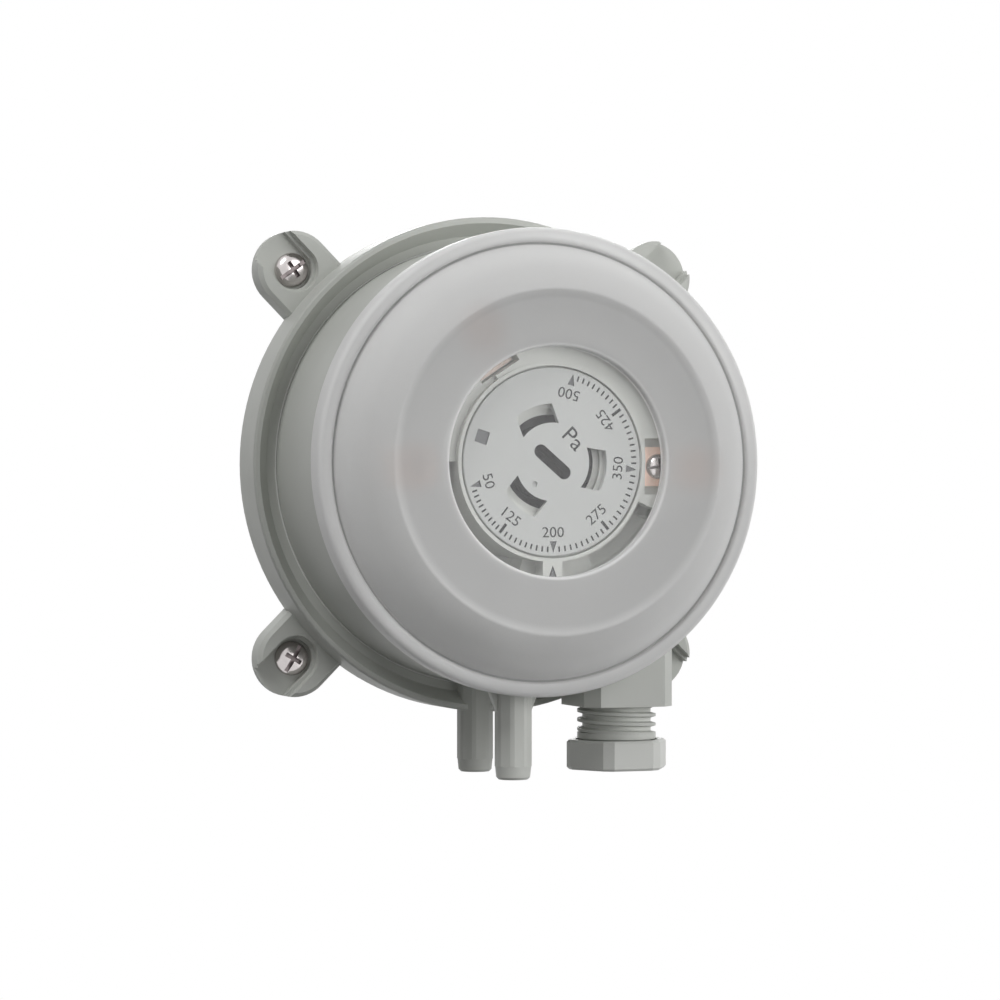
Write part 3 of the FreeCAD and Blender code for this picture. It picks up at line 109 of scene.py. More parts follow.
# A procedural material.
class Look(Tree):
    def __init__(self, name):
        self.material = bpy.data.materials.new(name)
        self.material.use_nodes = True
        super().__init__(self.material.node_tree)
        self.shader = self.tree.nodes["Principled BSDF"]
        self.place = self.node("ShaderNodeTexCoord").outputs["Object"]

    def set(self, **inputs):
        for name, value in inputs.items():
            self.shader.inputs[name.replace("_", " ")].default_value = value

    def noise(self, scale, detail=2.0, stretch=None, roughness=0.5):
        noise = self.node("ShaderNodeTexNoise", Scale=scale, Detail=detail, Roughness=roughness)
        place = self.place
        if stretch:
            mapping = self.node("ShaderNodeMapping", Scale=stretch)
            self.link(place, mapping.inputs["Vector"])
            place = mapping.outputs["Vector"]
        self.link(place, noise.inputs["Vector"])
        return noise.outputs["Fac"]

    # Greys or colours at places from 0 to 1.
    def ramp(self, source, stops):
        ramp = self.node("ShaderNodeValToRGB")
        band = ramp.color_ramp
        while len(band.elements) < len(stops):
            band.elements.new(0.5)
        for element, (place, value) in zip(band.elements, stops):
            element.position = place
            element.color = (*value, 1) if isinstance(value, tuple) else (value, value, value, 1)
        self.link(source, ramp.inputs["Fac"])
        return ramp.outputs["Color"]

    # A value that goes from low to high while the source goes from start to end.
    def spread(self, source, start, end, low=0.0, high=1.0, smooth=False):
        limits = {"From Min": start, "From Max": end, "To Min": low, "To Max": high}
        node = self.node("ShaderNodeMapRange", **limits)
        if smooth:
            node.interpolation_type = "SMOOTHSTEP"
        self.link(source, node.inputs["Value"])
        return node.outputs["Result"]

    # The distance from a centre given in millimetres, seen straight at the wall.
    def distance(self, x=0.0, y=0.0):
        flat = self.node("ShaderNodeVectorMath")
        flat.operation = "MULTIPLY"
        self.link(self.place, flat.inputs[0])
        flat.inputs[1].default_value = (1, 0, 1)
        far = self.node("ShaderNodeVectorMath")
        far.operation = "DISTANCE"
        self.link(flat.outputs["Vector"], far.inputs[0])
        far.inputs[1].default_value = (x * MM, 0, y * MM)
        return far.outputs["Value"]

    # Height of the grain in millimetres.
    def bump(self, source, strength, height):
        bump = self.node("ShaderNodeBump", Strength=strength, Distance=height * MM)
        self.link(source, bump.inputs["Height"])
        self.link(bump.outputs["Normal"], self.shader.inputs["Normal"])

    # A colour that drifts a little over the surface.
    def colour(self, base, spread, scale=90):
        darker = tuple(c * (1 - spread) for c in base)
        lighter = tuple(min(c * (1 + spread), 1) for c in base)
        drift = self.ramp(self.noise(scale, 4), [(0.3, darker), (0.7, lighter)])
        self.link(drift, self.shader.inputs["Base Color"])

    def roughness(self, low, high, scale=160):
        drift = self.ramp(self.noise(scale, 5), [(0.3, low), (0.7, high)])
        self.link(drift, self.shader.inputs["Roughness"])

    # One colour under another that covers it by a share from 0 to 1.
    def paint(self, share, below, over):
        mix = self.node("ShaderNodeMix")
        mix.data_type = "RGBA"
        self.link(share, mix.inputs[MIX_SHARE])
        self.link(below, mix.inputs[MIX_BELOW])
        mix.inputs[MIX_OVER].default_value = (*over, 1)
        self.link(mix.outputs[MIX_RESULT], self.shader.inputs["Base Color"])

    # Painted shade: a narrow round space, up to a radius and a height in millimetres, that hardly any light
    # reaches, is painted a dark tone.
    def shade_inside(self, radius, height, tone):
        base = self.shader.inputs["Base Color"].links[0].from_socket
        split = self.node("ShaderNodeSeparateXYZ")
        self.link(self.place, split.inputs["Vector"])
        near = self.maths("LESS_THAN", self.distance(), radius * MM)
        low = self.maths("GREATER_THAN", split.outputs["Y"], -height * MM)
        self.paint(self.maths("MULTIPLY", near, low), base, (tone, tone, tone))


def plastic(name, base, low=0.42, high=0.5, grain=0.12):
    look = Look(name)
    look.colour(base, 0.02)
    look.roughness(low, high)
    look.set(IOR=1.5, Specular_IOR_Level=0.25)
    look.bump(look.noise(4200, 3, roughness=0.7), grain, 0.04)
    return look


def metal(name, base, low, high, stretch=None, metallic=1.0):
    look = Look(name)
    look.colour(base, 0.06, 400)
    look.roughness(low, high, 700)
    look.set(Metallic=metallic)
    look.bump(look.noise(900, 4, stretch), 0.12, 0.02)
    return look


# Rolled strip has a grain that runs one way.
ROLLED = (1, 1, 6)
# The deep space under the dial, in the upper housing, painted dark as shade.
DIAL_SHAFT_SHADE = {"radius": 8.2, "height": 38.15, "tone": 0.03}

housing = plastic("housing_grey", (0.56, 0.572, 0.54))
main_grey = plastic("main_housing_grey", (0.60, 0.612, 0.58))
# The upper housing gets painted shade in the deep space under the dial.
main_grey.shade_inside(**DIAL_SHAFT_SHADE)
# A lighter grey for the seam lip: a painted highlight.
seam_painted_highlight = plastic("seam_painted_highlight", (0.80, 0.81, 0.79))
nut_grey = plastic("nut_grey", (0.70, 0.71, 0.68))
dial_grey = plastic("dial_grey", (0.53, 0.542, 0.53), 0.5, 0.58, 0.06)
inner_grey = plastic("inner_grey", (0.42, 0.43, 0.42), 0.5, 0.6)
mark_floor = plastic("mark_floor", (0.16, 0.163, 0.167), 0.5, 0.6, 0.03)
mark_wall = plastic("mark_wall", (0.03, 0.03, 0.032), 0.5, 0.6, 0.03)
# Near black for the deep space round the dial's shaft: painted shade.
deep_painted_shade = plastic("deep_painted_shade", (0.035, 0.035, 0.035), 0.5, 0.6, 0.03)
# Paler copper for the nc terminal: a painted faint glint where it shows at the window's edge.
pale_glint_copper = metal("pale_glint_copper", (0.62, 0.52, 0.47), 0.5, 0.6, ROLLED, 0.35)
copper = metal("copper_strip", (0.90, 0.66, 0.54), 0.35, 0.45, ROLLED, 0.6)
steel = metal("plated_steel", (0.60, 0.565, 0.56), 0.15, 0.28)
# Dark steel for the walls and floors of the screw slots: painted shade.
steel_slot_painted_shade = metal("steel_slot_painted_shade", (0.20, 0.175, 0.175), 0.3, 0.45)
rubber = plastic("black_rubber", (0.022, 0.022, 0.023), 0.7, 0.8, 0.2)
silicone = plastic("silicone", (0.55, 0.53, 0.5), 0.5, 0.6, 0.1)


# Cover: frosted all over but for a polished window in the middle. Its lists give a radius
# in millimetres and the value there.
PANE_RADIUS = 18.85
POLISH_END = PANE_RADIUS - 0.06
FROST_START = PANE_RADIUS - 0.02
COVER_REACH = 40
# Painted light and shade: the wall is painted lighter where it curves and at the bead, and dark in the
# crease.
COVER_PAINTED_LIGHT = [
    (0, 1.0), (POLISH_END, 1.0), (PANE_RADIUS, 0.92), (PANE_RADIUS + 0.25, 0.92), (PANE_RADIUS + 0.6, 0.69),
    (27, 0.69), (28.2, 0.80), (32, 0.85), (35.2, 0.97), (35.9, 0.95), (36.08, 0.42), (36.28, 0.42),
    (36.42, 0.84), (38.0, 0.76), (38.5, 0.90), (38.9, 0.90)]
# The painted shaded tones have a trace less blue.
COVER_BLUE = 0.995
# How much light goes through the wall.
COVER_CLEARNESS = [
    (POLISH_END, 1.0), (PANE_RADIUS, 0.2), (PANE_RADIUS + 0.3, 0.2), (PANE_RADIUS + 0.7, 0.42),
    (35.2, 0.42), (37.2, 0.25)]
# Painted glow: faint copper-coloured patches are painted into the cover's colour at these angles, where the
# copper terminals lie behind it.
GLOW_ANGLES = (-2.7, 121, 183)
GLOW_PLACE = 25
GLOW_CORE = 1.0
GLOW_EDGE = 6.0
GLOW_STRENGTH = 0.16
GLOW_COLOUR = (0.56, 0.40, 0.34)


def cover_look():
    look = Look("frosted_cover")
    distance = look.distance()
    frost = look.spread(distance, POLISH_END * MM, FROST_START * MM)
    reach = look.spread(distance, 0, COVER_REACH * MM)
    # Painted light and shade from the tones by radius.
    shade = look.ramp(reach, [(radius / COVER_REACH, (tone, tone, tone * (COVER_BLUE if tone < 1 else 1)))
                              for radius, tone in COVER_PAINTED_LIGHT])
    # The copper terminals' glow through the wall is painted in as patches.
    painted_glow = 0.0
    for angle in GLOW_ANGLES:
        away = look.distance(*turned(GLOW_PLACE, 0, math.radians(angle)))
        patch = look.spread(away, GLOW_CORE * MM, GLOW_EDGE * MM, GLOW_STRENGTH, 0.0, smooth=True)
        painted_glow = look.maths("ADD", painted_glow, patch)
    look.paint(painted_glow, shade, GLOW_COLOUR)
    look.link(look.ramp(frost, [(0, 0.02), (1, 0.5)]), look.shader.inputs["Roughness"])
    clearness = look.ramp(reach, [(radius / COVER_REACH, share) for radius, share in COVER_CLEARNESS])
    look.link(clearness, look.shader.inputs["Transmission Weight"])
    look.set(IOR=1.3)
    grain = look.maths("MULTIPLY", look.noise(5200, 3, roughness=0.75), frost)
    look.bump(grain, 0.3, 0.05)
    # Light from the lamps and off the parts inside passes through, more at the window.
    path = look.node("ShaderNodeLightPath")
    clear = look.node("ShaderNodeBsdfTransparent")
    passing = look.maths("MAXIMUM", path.outputs["Is Shadow Ray"], path.outputs["Is Diffuse Ray"])
    share = look.maths("MULTIPLY", passing, look.ramp(frost, [(0, 0.95), (1, 0.3)]))
    look.mix_shaders(share, look.shader.outputs["BSDF"], clear.outputs["BSDF"], "Material Output")
    return look


frosted = cover_look()


# Mesh helpers.
def add_piece(name, mesh, look, body, replaces=(), angle=35):
    piece = bpy.data.objects.new(name, mesh)
    scene.collection.objects.link(piece)
    mesh.materials.clear()
    mesh.materials.append(look.material)
    mesh.shade_smooth()
    mesh.set_sharp_from_angle(angle=math.radians(angle))
    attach(piece, body)
    if replaces:
        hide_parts(*replaces)
    return piece


def to_mesh(name, shape):
    bmesh.ops.remove_doubles(shape, verts=shape.verts, dist=1e-7)
    bmesh.ops.recalc_face_normals(shape, faces=shape.faces)
    mesh = bpy.data.meshes.new(name)
    shape.to_mesh(mesh)
    shape.free()
    return mesh


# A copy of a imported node's mesh, in its own place.
def packed_mesh(name):
    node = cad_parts[name]
    mesh = node.data.copy()
    mesh.transform(node.matrix_world)
    return mesh


# Faces between two rings of corners. A ring may be one corner repeated.
def bridge(shape, ring, after):
    for step in range(len(ring)):
        beside = (step + 1) % len(ring)
        face = []
        for corner in (ring[step], ring[beside], after[beside], after[step]):
            if corner not in face:
                face.append(corner)
        if len(face) > 2:
            shape.faces.new(face)


# A closed profile of (radius, height) turned about a centre.
def lathe(shape, profile, centre=(0.0, 0.0), steps=256):
    rings = []
    for radius, h in profile:
        if radius < 1e-6:
            rings.append([shape.verts.new(spot(*centre, h))] * steps)
            continue
        rings.append([shape.verts.new(spot(*turned(radius, 0, 2 * math.pi * step / steps, centre), h))
                      for step in range(steps)])
    for index, ring in enumerate(rings):
        bridge(shape, ring, rings[(index + 1) % len(rings)])


# Points along an arc from one point to another. It bulges to the right of the way there,
# or to the left where the radius is negative.
def arc(start, end, radius, count=10):
    sx, sy = start
    ex, ey = end
    chord = math.hypot(ex - sx, ey - sy)
    rise = math.sqrt(max(radius ** 2 - chord ** 2 / 4, 0)) * (1 if radius > 0 else -1)
    centre = ((sx + ex) / 2 - (ey - sy) / chord * rise, (sy + ey) / 2 + (ex - sx) / chord * rise)
    low = math.atan2(sy - centre[1], sx - centre[0])
    high = math.atan2(ey - centre[1], ex - centre[0])
    if radius > 0 and high < low:
        high += 2 * math.pi
    if radius < 0 and high > low:
        high -= 2 * math.pi
    return [turned(abs(radius), 0, low + (high - low) * step / count, centre) for step in range(count + 1)]


# Cover as one smooth shell. Its half section is a list of (radius, height).
COVER_FOOT = 31.9
COVER_SEAT = 34.3
COVER_FACE = 43.5
COVER_FACE_UNDER = 42.2
PANE_TOP = 41.9
PANE_UNDER = 40.95
RIM_INSIDE = 37.53
RIM_OUTSIDE = 38.83
RIM_ROUND = 0.23


def make_cover():
    # The rim's foot.
    outer = [(RIM_INSIDE, COVER_FOOT), (RIM_OUTSIDE - RIM_ROUND, COVER_FOOT)]
    outer += arc((RIM_OUTSIDE - RIM_ROUND, COVER_FOOT), (RIM_OUTSIDE, COVER_FOOT + RIM_ROUND), RIM_ROUND, 4)
    # The bead, and the crease between it and the shoulder.
    outer += arc((RIM_OUTSIDE, 35.3), (38.0, 36.32), 1.1, 8)
    outer += [(37.2, 36.36)] + arc((36.75, 36.3), (36.45, 36.0), 0.5, 4) + [(36.3, 35.62), (36.05, 35.6)]
    # The shoulder, and the step down to the flat ring round the window.
    outer += arc((35.93, 35.7), (28.6, 43.92), 13.0, 26)
    outer += arc((28.6, 43.92), (28.0, 43.92), 0.7, 6)
    outer += [(27.3, 43.62), (26.6, COVER_FACE), (19.35, COVER_FACE)]
    # The window's edge and its pane.
    outer += arc((19.35, COVER_FACE), (PANE_RADIUS, COVER_FACE - 0.5), 0.5, 6)
    outer += [(PANE_RADIUS, 41.98), (18.77, PANE_TOP), (0, PANE_TOP)]
    # The inside, from the pane back to the rim.
    inner = [(0, PANE_UNDER), (20.15, PANE_UNDER), (20.15, COVER_FACE_UNDER), (26.6, COVER_FACE_UNDER)]
    inner += arc((28.1, 42.7), (34.63, COVER_SEAT), -12.0, 16) + [(RIM_INSIDE, COVER_SEAT)]
    shape = bmesh.new()
    lathe(shape, outer + inner)
    add_piece("cover_shell", to_mesh("cover_shell", shape), frosted, "cover_body", ["cover"], 28)


make_cover()


# A thin lip of plastic closes the seam where the upper housing stands in the base. Its lighter grey is a
# painted highlight along the seam.
LIP_INSIDE = 37.72
LIP_OUTSIDE = 37.98
LIP_FOOT = 7.2
LIP_TOP = 8.12


def make_seam_lip():
    top = arc((LIP_OUTSIDE, LIP_TOP), (LIP_INSIDE, LIP_TOP), 0.14, 5)
    shape = bmesh.new()
    lathe(shape, [(LIP_INSIDE, LIP_FOOT), (LIP_OUTSIDE, LIP_FOOT)] + top)
    add_piece("seam_lip", to_mesh("seam_lip", shape), seam_painted_highlight, "housing")


make_seam_lip()


# Gland neck: the thread's ridge winds down to the collar. Drops are measured from the
# middle of the object, and a crest faces the front at the given drop.
GLAND = (18.97, 21.0)
THREAD_PITCH = 1.58
THREAD_CREST_DROP = 42.55
THREAD_TOP = 41.0
THREAD_BOTTOM = 45.95
THREAD_ROOT = 5.8
THREAD_CREST = 6.72
THREAD_SUNK = 0.4
THREAD_FADE = 0.5
THREAD_STEPS = 64
# The ridge's section: places along the neck, and the share of the rise there.
THREAD_SECTION = [(-0.5, 0), (-0.24, 1), (0.24, 1), (0.5, 0)]


def thread_corner(shape, radius, angle, drop):
    x, h = turned(radius, 0, angle, GLAND)
    return shape.verts.new(spot(x, -min(max(drop, THREAD_TOP), THREAD_BOTTOM), h))


def make_thread():
    shape = bmesh.new()
    first = THREAD_CREST_DROP - THREAD_PITCH * 1.25
    last = THREAD_BOTTOM + THREAD_PITCH / 2
    previous = None
    for index in range(int(round((last - first) / THREAD_PITCH * THREAD_STEPS)) + 1):
        drop = first + THREAD_PITCH * index / THREAD_STEPS
        angle = math.radians(90) - 2 * math.pi * (drop - THREAD_CREST_DROP) / THREAD_PITCH
        height = (THREAD_CREST - THREAD_ROOT) * min(1.0, max(0.0, (drop - THREAD_TOP) / THREAD_FADE))
        ring = [thread_corner(shape, THREAD_ROOT + height * rise, angle, drop + along)
                for along, rise in THREAD_SECTION]
        ring.append(thread_corner(shape, THREAD_ROOT - THREAD_SUNK, angle, drop))
        if previous:
            bridge(shape, previous, ring)
        else:
            shape.faces.new(list(reversed(ring)))
        previous = ring
    shape.faces.new(previous)
    add_piece("gland_thread", to_mesh("gland_thread", shape), housing, "housing", angle=50)


make_thread()


# Screws: a domed head with a cross and a slot, and a threaded shank. Each slot has a length,
# a width, an angle in degrees and a share of the full depth.
FIXING_SCREW = {
    "under": 1.5, "head": 2.93, "rise": 1.8, "shank": 1.95, "length": 11.5, "pitch": 1.0, "neck": (2.1, -0.3),
    "depth": 1.1, "slots": [(3.1, 0.75, 0, 1.0), (3.1, 0.75, 90, 1.0), (5.0, 0.7, 0, 0.6)]}
TERMINAL_SCREW = {
    "under": 37.9, "head": 2.1, "rise": 1.3, "shank": 1.25, "length": 5.7, "pitch": 0.7, "neck": None,
    "depth": 0.75, "slots": [(2.7, 0.5, 0, 1.0), (2.7, 0.5, 90, 1.0), (3.9, 0.42, 0, 0.6)]}
EAR_PLACE = 33.234
TERMINAL_SIDESTEP = 0.65
TERMINAL_SCREW_TURN = 8
CUT_ABOVE = 1.0


def slot_cutter(slot, turn, centre, top, depth):
    length, width, angle, share = slot
    reach = depth * share
    place = Matrix.Translation(spot(*centre, top - reach / 2 + CUT_ABOVE / 2))
    spin = Matrix.Rotation(-math.radians(turn + angle), 4, "Y")
    size = Matrix.Diagonal((length * MM, (reach + CUT_ABOVE) * MM, width * MM, 1))
    shape = bmesh.new()
    bmesh.ops.create_cube(shape, size=1.0, matrix=place @ spin @ size)
    return shape


def cut(mesh, cutters):
    piece = bpy.data.objects.new("cut_target", mesh)
    scene.collection.objects.link(piece)
    tools = []
    for shape in cutters:
        tool_mesh = bpy.data.meshes.new("cut_tool")
        shape.to_mesh(tool_mesh)
        shape.free()
        tool = bpy.data.objects.new("cut_tool", tool_mesh)
        scene.collection.objects.link(tool)
        tools.append(tool)
        modifier = piece.modifiers.new("cut", "BOOLEAN")
        modifier.operation = "DIFFERENCE"
        modifier.solver = "EXACT"
        modifier.use_self = True
        modifier.object = tool
    done = bpy.data.meshes.new_from_object(piece.evaluated_get(bpy.context.evaluated_depsgraph_get()))
    for item in [piece] + tools:
        bpy.data.objects.remove(item)
    return done


# A short straight side, a round shoulder and a nearly flat top.
def head_profile(head, under, rise):
    shoulder = (head, under + rise * 0.3)
    crown = (head * 0.55, under + rise * 0.93)
    top = [(head * 0.3, under + rise), (0, under + rise)]
    return [(0, under), (head, under), shoulder] + arc(shoulder, crown, head * 0.62, 8) + top


# The thread is a row of saw teeth, below a plain neck where one is given.
def shank_profile(shank, under, tip, pitch, neck):
    if neck:
        radius, along = neck
        profile = [(0, under), (radius, under), (radius, along)]
    else:
        along = under - 0.6
        profile = [(0, under), (shank * 0.97, under)]
    while along - pitch > tip + 0.8:
        profile += [(shank * 0.82, along), (shank, along - pitch / 2), (shank * 0.82, along - pitch)]
        along -= pitch
    return profile + [(shank * 0.8, tip + 0.5), (shank * 0.5, tip), (0, tip)]


# Which faces of a cut head are walls or floors of its slots. These get painted shade.
def find_slot_faces(mesh, centre, head, under, rise):
    axis = spot(*centre, 0)
    found = []
    for face in mesh.polygons:
        height = -face.center.y
        away = Vector((face.center.x - axis.x, 0, face.center.z - axis.z)).length
        inside = height > (under + 0.05) * MM and away < head * 0.97 * MM
        wall = abs(face.normal.y) < 0.1
        floor = height < (under + rise * 0.75) * MM and face.normal.y < -0.99
        found.append(inside and (wall or floor))
    return found


def make_screw(node, centre, turn, under, head, rise, shank, length, pitch, neck, depth, slots):
    shape = bmesh.new()
    lathe(shape, head_profile(head, under, rise), centre, 64)
    cutters = [slot_cutter(slot, turn, centre, under + rise, depth) for slot in slots]
    head_mesh = cut(to_mesh(node + "_head", shape), cutters)
    slot_faces = find_slot_faces(head_mesh, centre, head, under, rise)
    shape = bmesh.new()
    shape.from_mesh(head_mesh)
    lathe(shape, shank_profile(shank, under, under - length, pitch, neck), centre, 40)
    mesh = bpy.data.meshes.new(node + "_detail")
    shape.to_mesh(mesh)
    shape.free()
    add_piece(node + "_detail", mesh, steel, "housing", [node], 30)
    # The slots' walls and floors get the dark steel: painted shade.
    mesh.materials.append(steel_slot_painted_shade.material)
    for face, inside in zip(mesh.polygons, slot_faces):
        if inside:
            face.material_index = 1


for name, up, turn in (("upper", EAR_PLACE, 36), ("lower", -EAR_PLACE, 60)):
    make_screw("fixing_screw_" + name, (-EAR_PLACE, up), turn, **FIXING_SCREW)

for name, angle, place in (("common", 0.0, 19.5), ("nc", 123.0, 22.6), ("no", 183.0, 22.6)):
    centre = turned(place, -TERMINAL_SIDESTEP, math.radians(angle))
    make_screw("terminal_screw_" + name, centre, TERMINAL_SCREW_TURN + angle, **TERMINAL_SCREW)


# The dial's scale is sunk into its face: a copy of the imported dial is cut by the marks.
DIAL_FACE = 40.1
MARK_DEPTH = 0.25
MARK_ABOVE = 0.3
MARK_OUTER = 14.8
MARK_INNER = 13.0
MINOR_INNER = 13.9
# Half widths at a mark's inner and outer end, in turn a triangle and a plain line.
MARK_SHAPES = ((0.6, 0.03), (0.25, 0.25))
MINOR_HALF = 0.14
MINOR_COUNT = 10
NUMBER_PLACE = 11.5
NUMBER_HEIGHT = 1.7
LETTER_WIDTH = 1.07
UNIT_CENTRE = (3.75, 3.76)
UNIT_TURN = -46
UNIT_HEIGHT = 2.6
SQUARE_CENTRE = (-12.22, 4.02)
SQUARE_TURN = -17.5
SQUARE_HALF = 1.075
# The numbers and their angles in degrees.
SCALE = [(50, 196.0), (125, 231.5), (200, 270.5), (275, 311.5), (350, 355.3), (425, 396.2), (500, 435.8)]


def prism(shape, corners, low, high):
    bottom = [shape.verts.new(spot(x, y, low)) for x, y in corners]
    top = [shape.verts.new(spot(x, y, high)) for x, y in corners]
    shape.faces.new(top)
    shape.faces.new(list(reversed(bottom)))
    bridge(shape, bottom, top)


def sunk(shape, corners):
    prism(shape, corners, DIAL_FACE - MARK_DEPTH, DIAL_FACE + MARK_ABOVE)


def mark(shape, angle, inner, half_in, half_out):
    corners = ((inner, -half_in), (MARK_OUTER, -half_out), (MARK_OUTER, half_out), (inner, half_in))
    sunk(shape, [turned(radius, offset, math.radians(angle)) for radius, offset in corners])


# Plain text of the given height of capitals, in Blender's own font.
def lettering(shape, text, centre, turn, height):
    curve = bpy.data.curves.new("number", "FONT")
    curve.body = text
    curve.size = 1.0
    curve.align_x = "CENTER"
    curve.resolution_u = 3
    item = bpy.data.objects.new("number", curve)
    scene.collection.objects.link(item)
    mesh = bpy.data.meshes.new_from_object(item.evaluated_get(bpy.context.evaluated_depsgraph_get()))
    bpy.data.objects.remove(item)
    across = [vertex.co.x for vertex in mesh.vertices]
    middle = (min(across) + max(across)) / 2
    scale = height / max(vertex.co.y for vertex in mesh.vertices)
    placed = [turned((vertex.co.x - middle) * scale * LETTER_WIDTH, vertex.co.y * scale - height / 2,
                     math.radians(turn), centre) for vertex in mesh.vertices]
    top = [shape.verts.new(spot(x, y, DIAL_FACE + MARK_ABOVE)) for x, y in placed]
    base = [shape.verts.new(spot(x, y, DIAL_FACE - MARK_DEPTH)) for x, y in placed]
    # An edge that one face alone uses is on the outline, and gets a wall.
    uses = {}
    for face in mesh.polygons:
        corners = list(face.vertices)
        shape.faces.new([top[index] for index in corners])
        shape.faces.new([base[index] for index in reversed(corners)])
        for index, start in enumerate(corners):
            end = corners[(index + 1) % len(corners)]
            uses.setdefault((min(start, end), max(start, end)), []).append((start, end))
    for edges in uses.values():
        if len(edges) == 1:
            start, end = edges[0]
            shape.faces.new([top[start], base[start], base[end], top[end]])
    bpy.data.meshes.remove(mesh)


def scale_marks():
    shape = bmesh.new()
    for index, (number, angle) in enumerate(SCALE):
        mark(shape, angle, MARK_INNER, *MARK_SHAPES[index % 2])
        lettering(shape, str(number), turned(NUMBER_PLACE, 0, math.radians(angle)), angle + 90, NUMBER_HEIGHT)
        if index + 1 < len(SCALE):
            step = (SCALE[index + 1][1] - angle) / MINOR_COUNT
            for minor in range(1, MINOR_COUNT):
                mark(shape, angle + step * minor, MINOR_INNER, MINOR_HALF, MINOR_HALF)
    lettering(shape, "Pa", UNIT_CENTRE, UNIT_TURN, UNIT_HEIGHT)
    sunk(shape, [turned(SQUARE_HALF * across, SQUARE_HALF * up, math.radians(SQUARE_TURN), SQUARE_CENTRE)
                 for across, up in ((-1, -1), (1, -1), (1, 1), (-1, 1))])
    bmesh.ops.recalc_face_normals(shape, faces=shape.faces)
    return shape


# The dial's finishes by number: the floor of a wide mark is grey, narrow marks and the walls of all marks are
# dark, and the floor of the deep space round the shaft gets painted shade.
PLAIN, WIDE_FLOOR, DARK, DEEP_SHADE = range(4)
WIDE_AREA = 0.95
WIDE_PLACE = 9.0
SCALE_REACH = 15.0
DEEP_REACH = 6.6
DEEP_BOTTOM = 30.0


def dial_finish(mesh, face):
    heights = [-mesh.vertices[index].co.y / MM for index in face.vertices]
    reach = math.hypot(face.center.x, face.center.z)
    floor = DIAL_FACE - MARK_DEPTH
    if min(heights) > floor - 0.01 and reach < SCALE_REACH * MM:
        if max(heights) < floor + 0.01:
            wide = face.area > WIDE_AREA * MM * MM and reach > WIDE_PLACE * MM
            return WIDE_FLOOR if wide else DARK
        return DARK if min(heights) < DIAL_FACE - 0.05 else PLAIN
    deep = min(heights) < DIAL_FACE - 1.0 and face.center.y < -DEEP_BOTTOM * MM
    return DEEP_SHADE if deep and reach < DEEP_REACH * MM else PLAIN


def make_dial():
    mesh = cut(packed_mesh("setting_dial"), [scale_marks()])
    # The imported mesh's own shading doesn't fit the cut one.
    for name in ("custom_normal", "sharp_face"):
        if name in mesh.attributes:
            mesh.attributes.remove(mesh.attributes[name])
    add_piece("setting_dial_detail", mesh, dial_grey, "dial_body", ["setting_dial"], 30)
    for look in (mark_floor, mark_wall, deep_painted_shade):
        mesh.materials.append(look.material)
    for face in mesh.polygons:
        finish = dial_finish(mesh, face)
        if finish != PLAIN:
            face.material_index = finish


make_dial()


# The pointer on the tab: a grey triangle on a slightly larger dark one.
TAB_FACE = 40.18


def make_pointer():
    for name, look, half, low, high, top in (
            ("pointer_outline", mark_wall, 0.72, -18.95, -16.95, 40.215),
            ("pointer_fill", mark_floor, 0.42, -18.75, -17.55, 40.225)):
        shape = bmesh.new()
        prism(shape, [(-half, low), (half, low), (0.0, high)], TAB_FACE, top)
        add_piece(name, to_mesh(name, shape), look, "housing")


make_pointer()


def make_spring():
    mesh = packed_mesh("range_spring")
    piece = add_piece("range_spring_detail", mesh, steel, "housing", ["range_spring"], 40)
    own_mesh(piece)


make_spring()


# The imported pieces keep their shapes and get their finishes.
FINISHES = {
    "base_housing": housing, "main_housing": main_grey, "cover": frosted, "cover_seal": rubber,
    "setting_dial": dial_grey, "terminal_common": copper, "terminal_nc": pale_glint_copper, "terminal_no": copper,
    "gland_nut": nut_grey, "gland_seal": rubber, "gland_thrust_ring": inner_grey, "diaphragm": silicone,
    "diaphragm_plate": inner_grey, "range_spring": steel, "spring_seat": inner_grey,
    "contact_carrier": inner_grey, "contact_lever": copper, "lever_pivot_pin": steel,
    "fixed_contact_nc": copper, "fixed_contact_no": copper, "fixing_screw_upper": steel,
    "fixing_screw_lower": steel, "terminal_screw_common": steel, "terminal_screw_nc": steel,
    "terminal_screw_no": steel, "housing_screw_1": steel, "housing_screw_2": steel, "housing_screw_3": steel}
for name, look in FINISHES.items():
    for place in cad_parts[name].material_slots:
        place.material = look.material


# A white surround: the floor keeps the object's shadow, and the camera, glass and metal
# see it white. The same goes for the world. Sizes here are in metres.
FLOOR_TONE = 0.2
FLOOR_DROP = 0.32
FLOOR_HALF = 3.0
WORLD_STRENGTH = 0.22
WHITE = (1, 1, 1, 1)


def surround_look():
    look = Look("white_surround")
    look.colour((FLOOR_TONE, FLOOR_TONE, FLOOR_TONE), 0.01, 2)
    look.set(Roughness=0.9, Specular_IOR_Level=0.1)
    glow = look.node("ShaderNodeEmission", Color=WHITE, Strength=1.0)
    look.white_when_seen(look.shader.outputs["BSDF"], glow.outputs["Emission"], "Material Output")
    return look


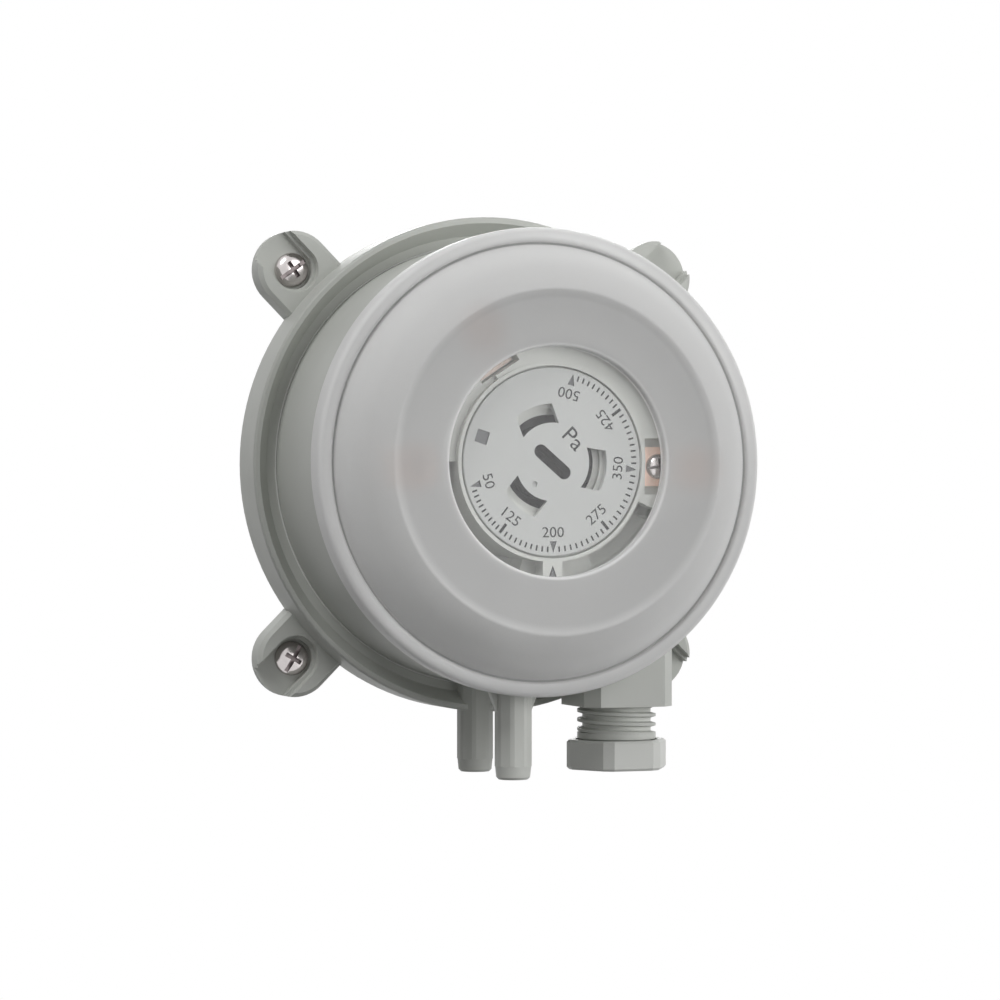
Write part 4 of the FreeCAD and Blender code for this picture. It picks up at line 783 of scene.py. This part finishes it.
def make_floor():
    shape = bmesh.new()
    bmesh.ops.create_grid(shape, x_segments=2, y_segments=2, size=FLOOR_HALF)
    mesh = bpy.data.meshes.new("floor")
    shape.to_mesh(mesh)
    shape.free()
    floor = bpy.data.objects.new("floor", mesh)
    floor.location = (0, 0, -FLOOR_DROP)
    scene.collection.objects.link(floor)
    mesh.materials.append(surround_look().material)


make_floor()


def make_world():
    world = bpy.data.worlds.new("studio")
    scene.world = world
    world.use_nodes = True
    studio = Tree(world.node_tree)
    soft = studio.tree.nodes["Background"]
    soft.inputs["Color"].default_value = WHITE
    soft.inputs["Strength"].default_value = WORLD_STRENGTH
    white = studio.node("ShaderNodeBackground", Color=WHITE, Strength=1.0)
    studio.white_when_seen(soft.outputs["Background"], white.outputs["Background"], "World Output")


make_world()


# Lamps: place in metres, power in watts and width in metres.
LAMPS = {
    "key": ((-0.45, -0.35, 0.6), 2.85, 0.4),
    "front": ((0.35, -0.8, 0.2), 2.1, 0.6),
    "right": ((0.9, -0.5, 0.1), 2.3, 0.5),
    "low": ((0.5, -0.45, -0.25), 0.55, 0.4),
    "back": ((0.4, 0.9, 0.45), 6.0, 0.6)}
LAMP_TARGET = (0, -0.02, 0)


def facing(direction):
    return Vector(direction).to_track_quat("-Z", "Y").to_euler()


def make_lamps():
    for name, (place, power, width) in LAMPS.items():
        data = bpy.data.lights.new(name, "AREA")
        data.energy = power
        data.shape = "DISK"
        data.size = width
        item = bpy.data.objects.new(name, data)
        scene.collection.objects.link(item)
        item.location = place
        item.rotation_euler = facing(Vector(LAMP_TARGET) - Vector(place))


make_lamps()


# The camera stands where the photograph's circles put it.
CAMERA_PLACE = (-0.19678, -0.56142, -0.00819)
CAMERA_DIRECTION = (0.3388, 0.9409, 0.0035)
CAMERA_LENS = 122.4
CAMERA_SENSOR = 36.0


def make_camera():
    data = bpy.data.cameras.new("camera")
    data.lens = CAMERA_LENS
    data.sensor_width = CAMERA_SENSOR
    camera = bpy.data.objects.new("camera", data)
    scene.collection.objects.link(camera)
    camera.location = CAMERA_PLACE
    camera.rotation_euler = facing(CAMERA_DIRECTION)
    scene.camera = camera


make_camera()

scene.view_settings.view_transform = "Standard"
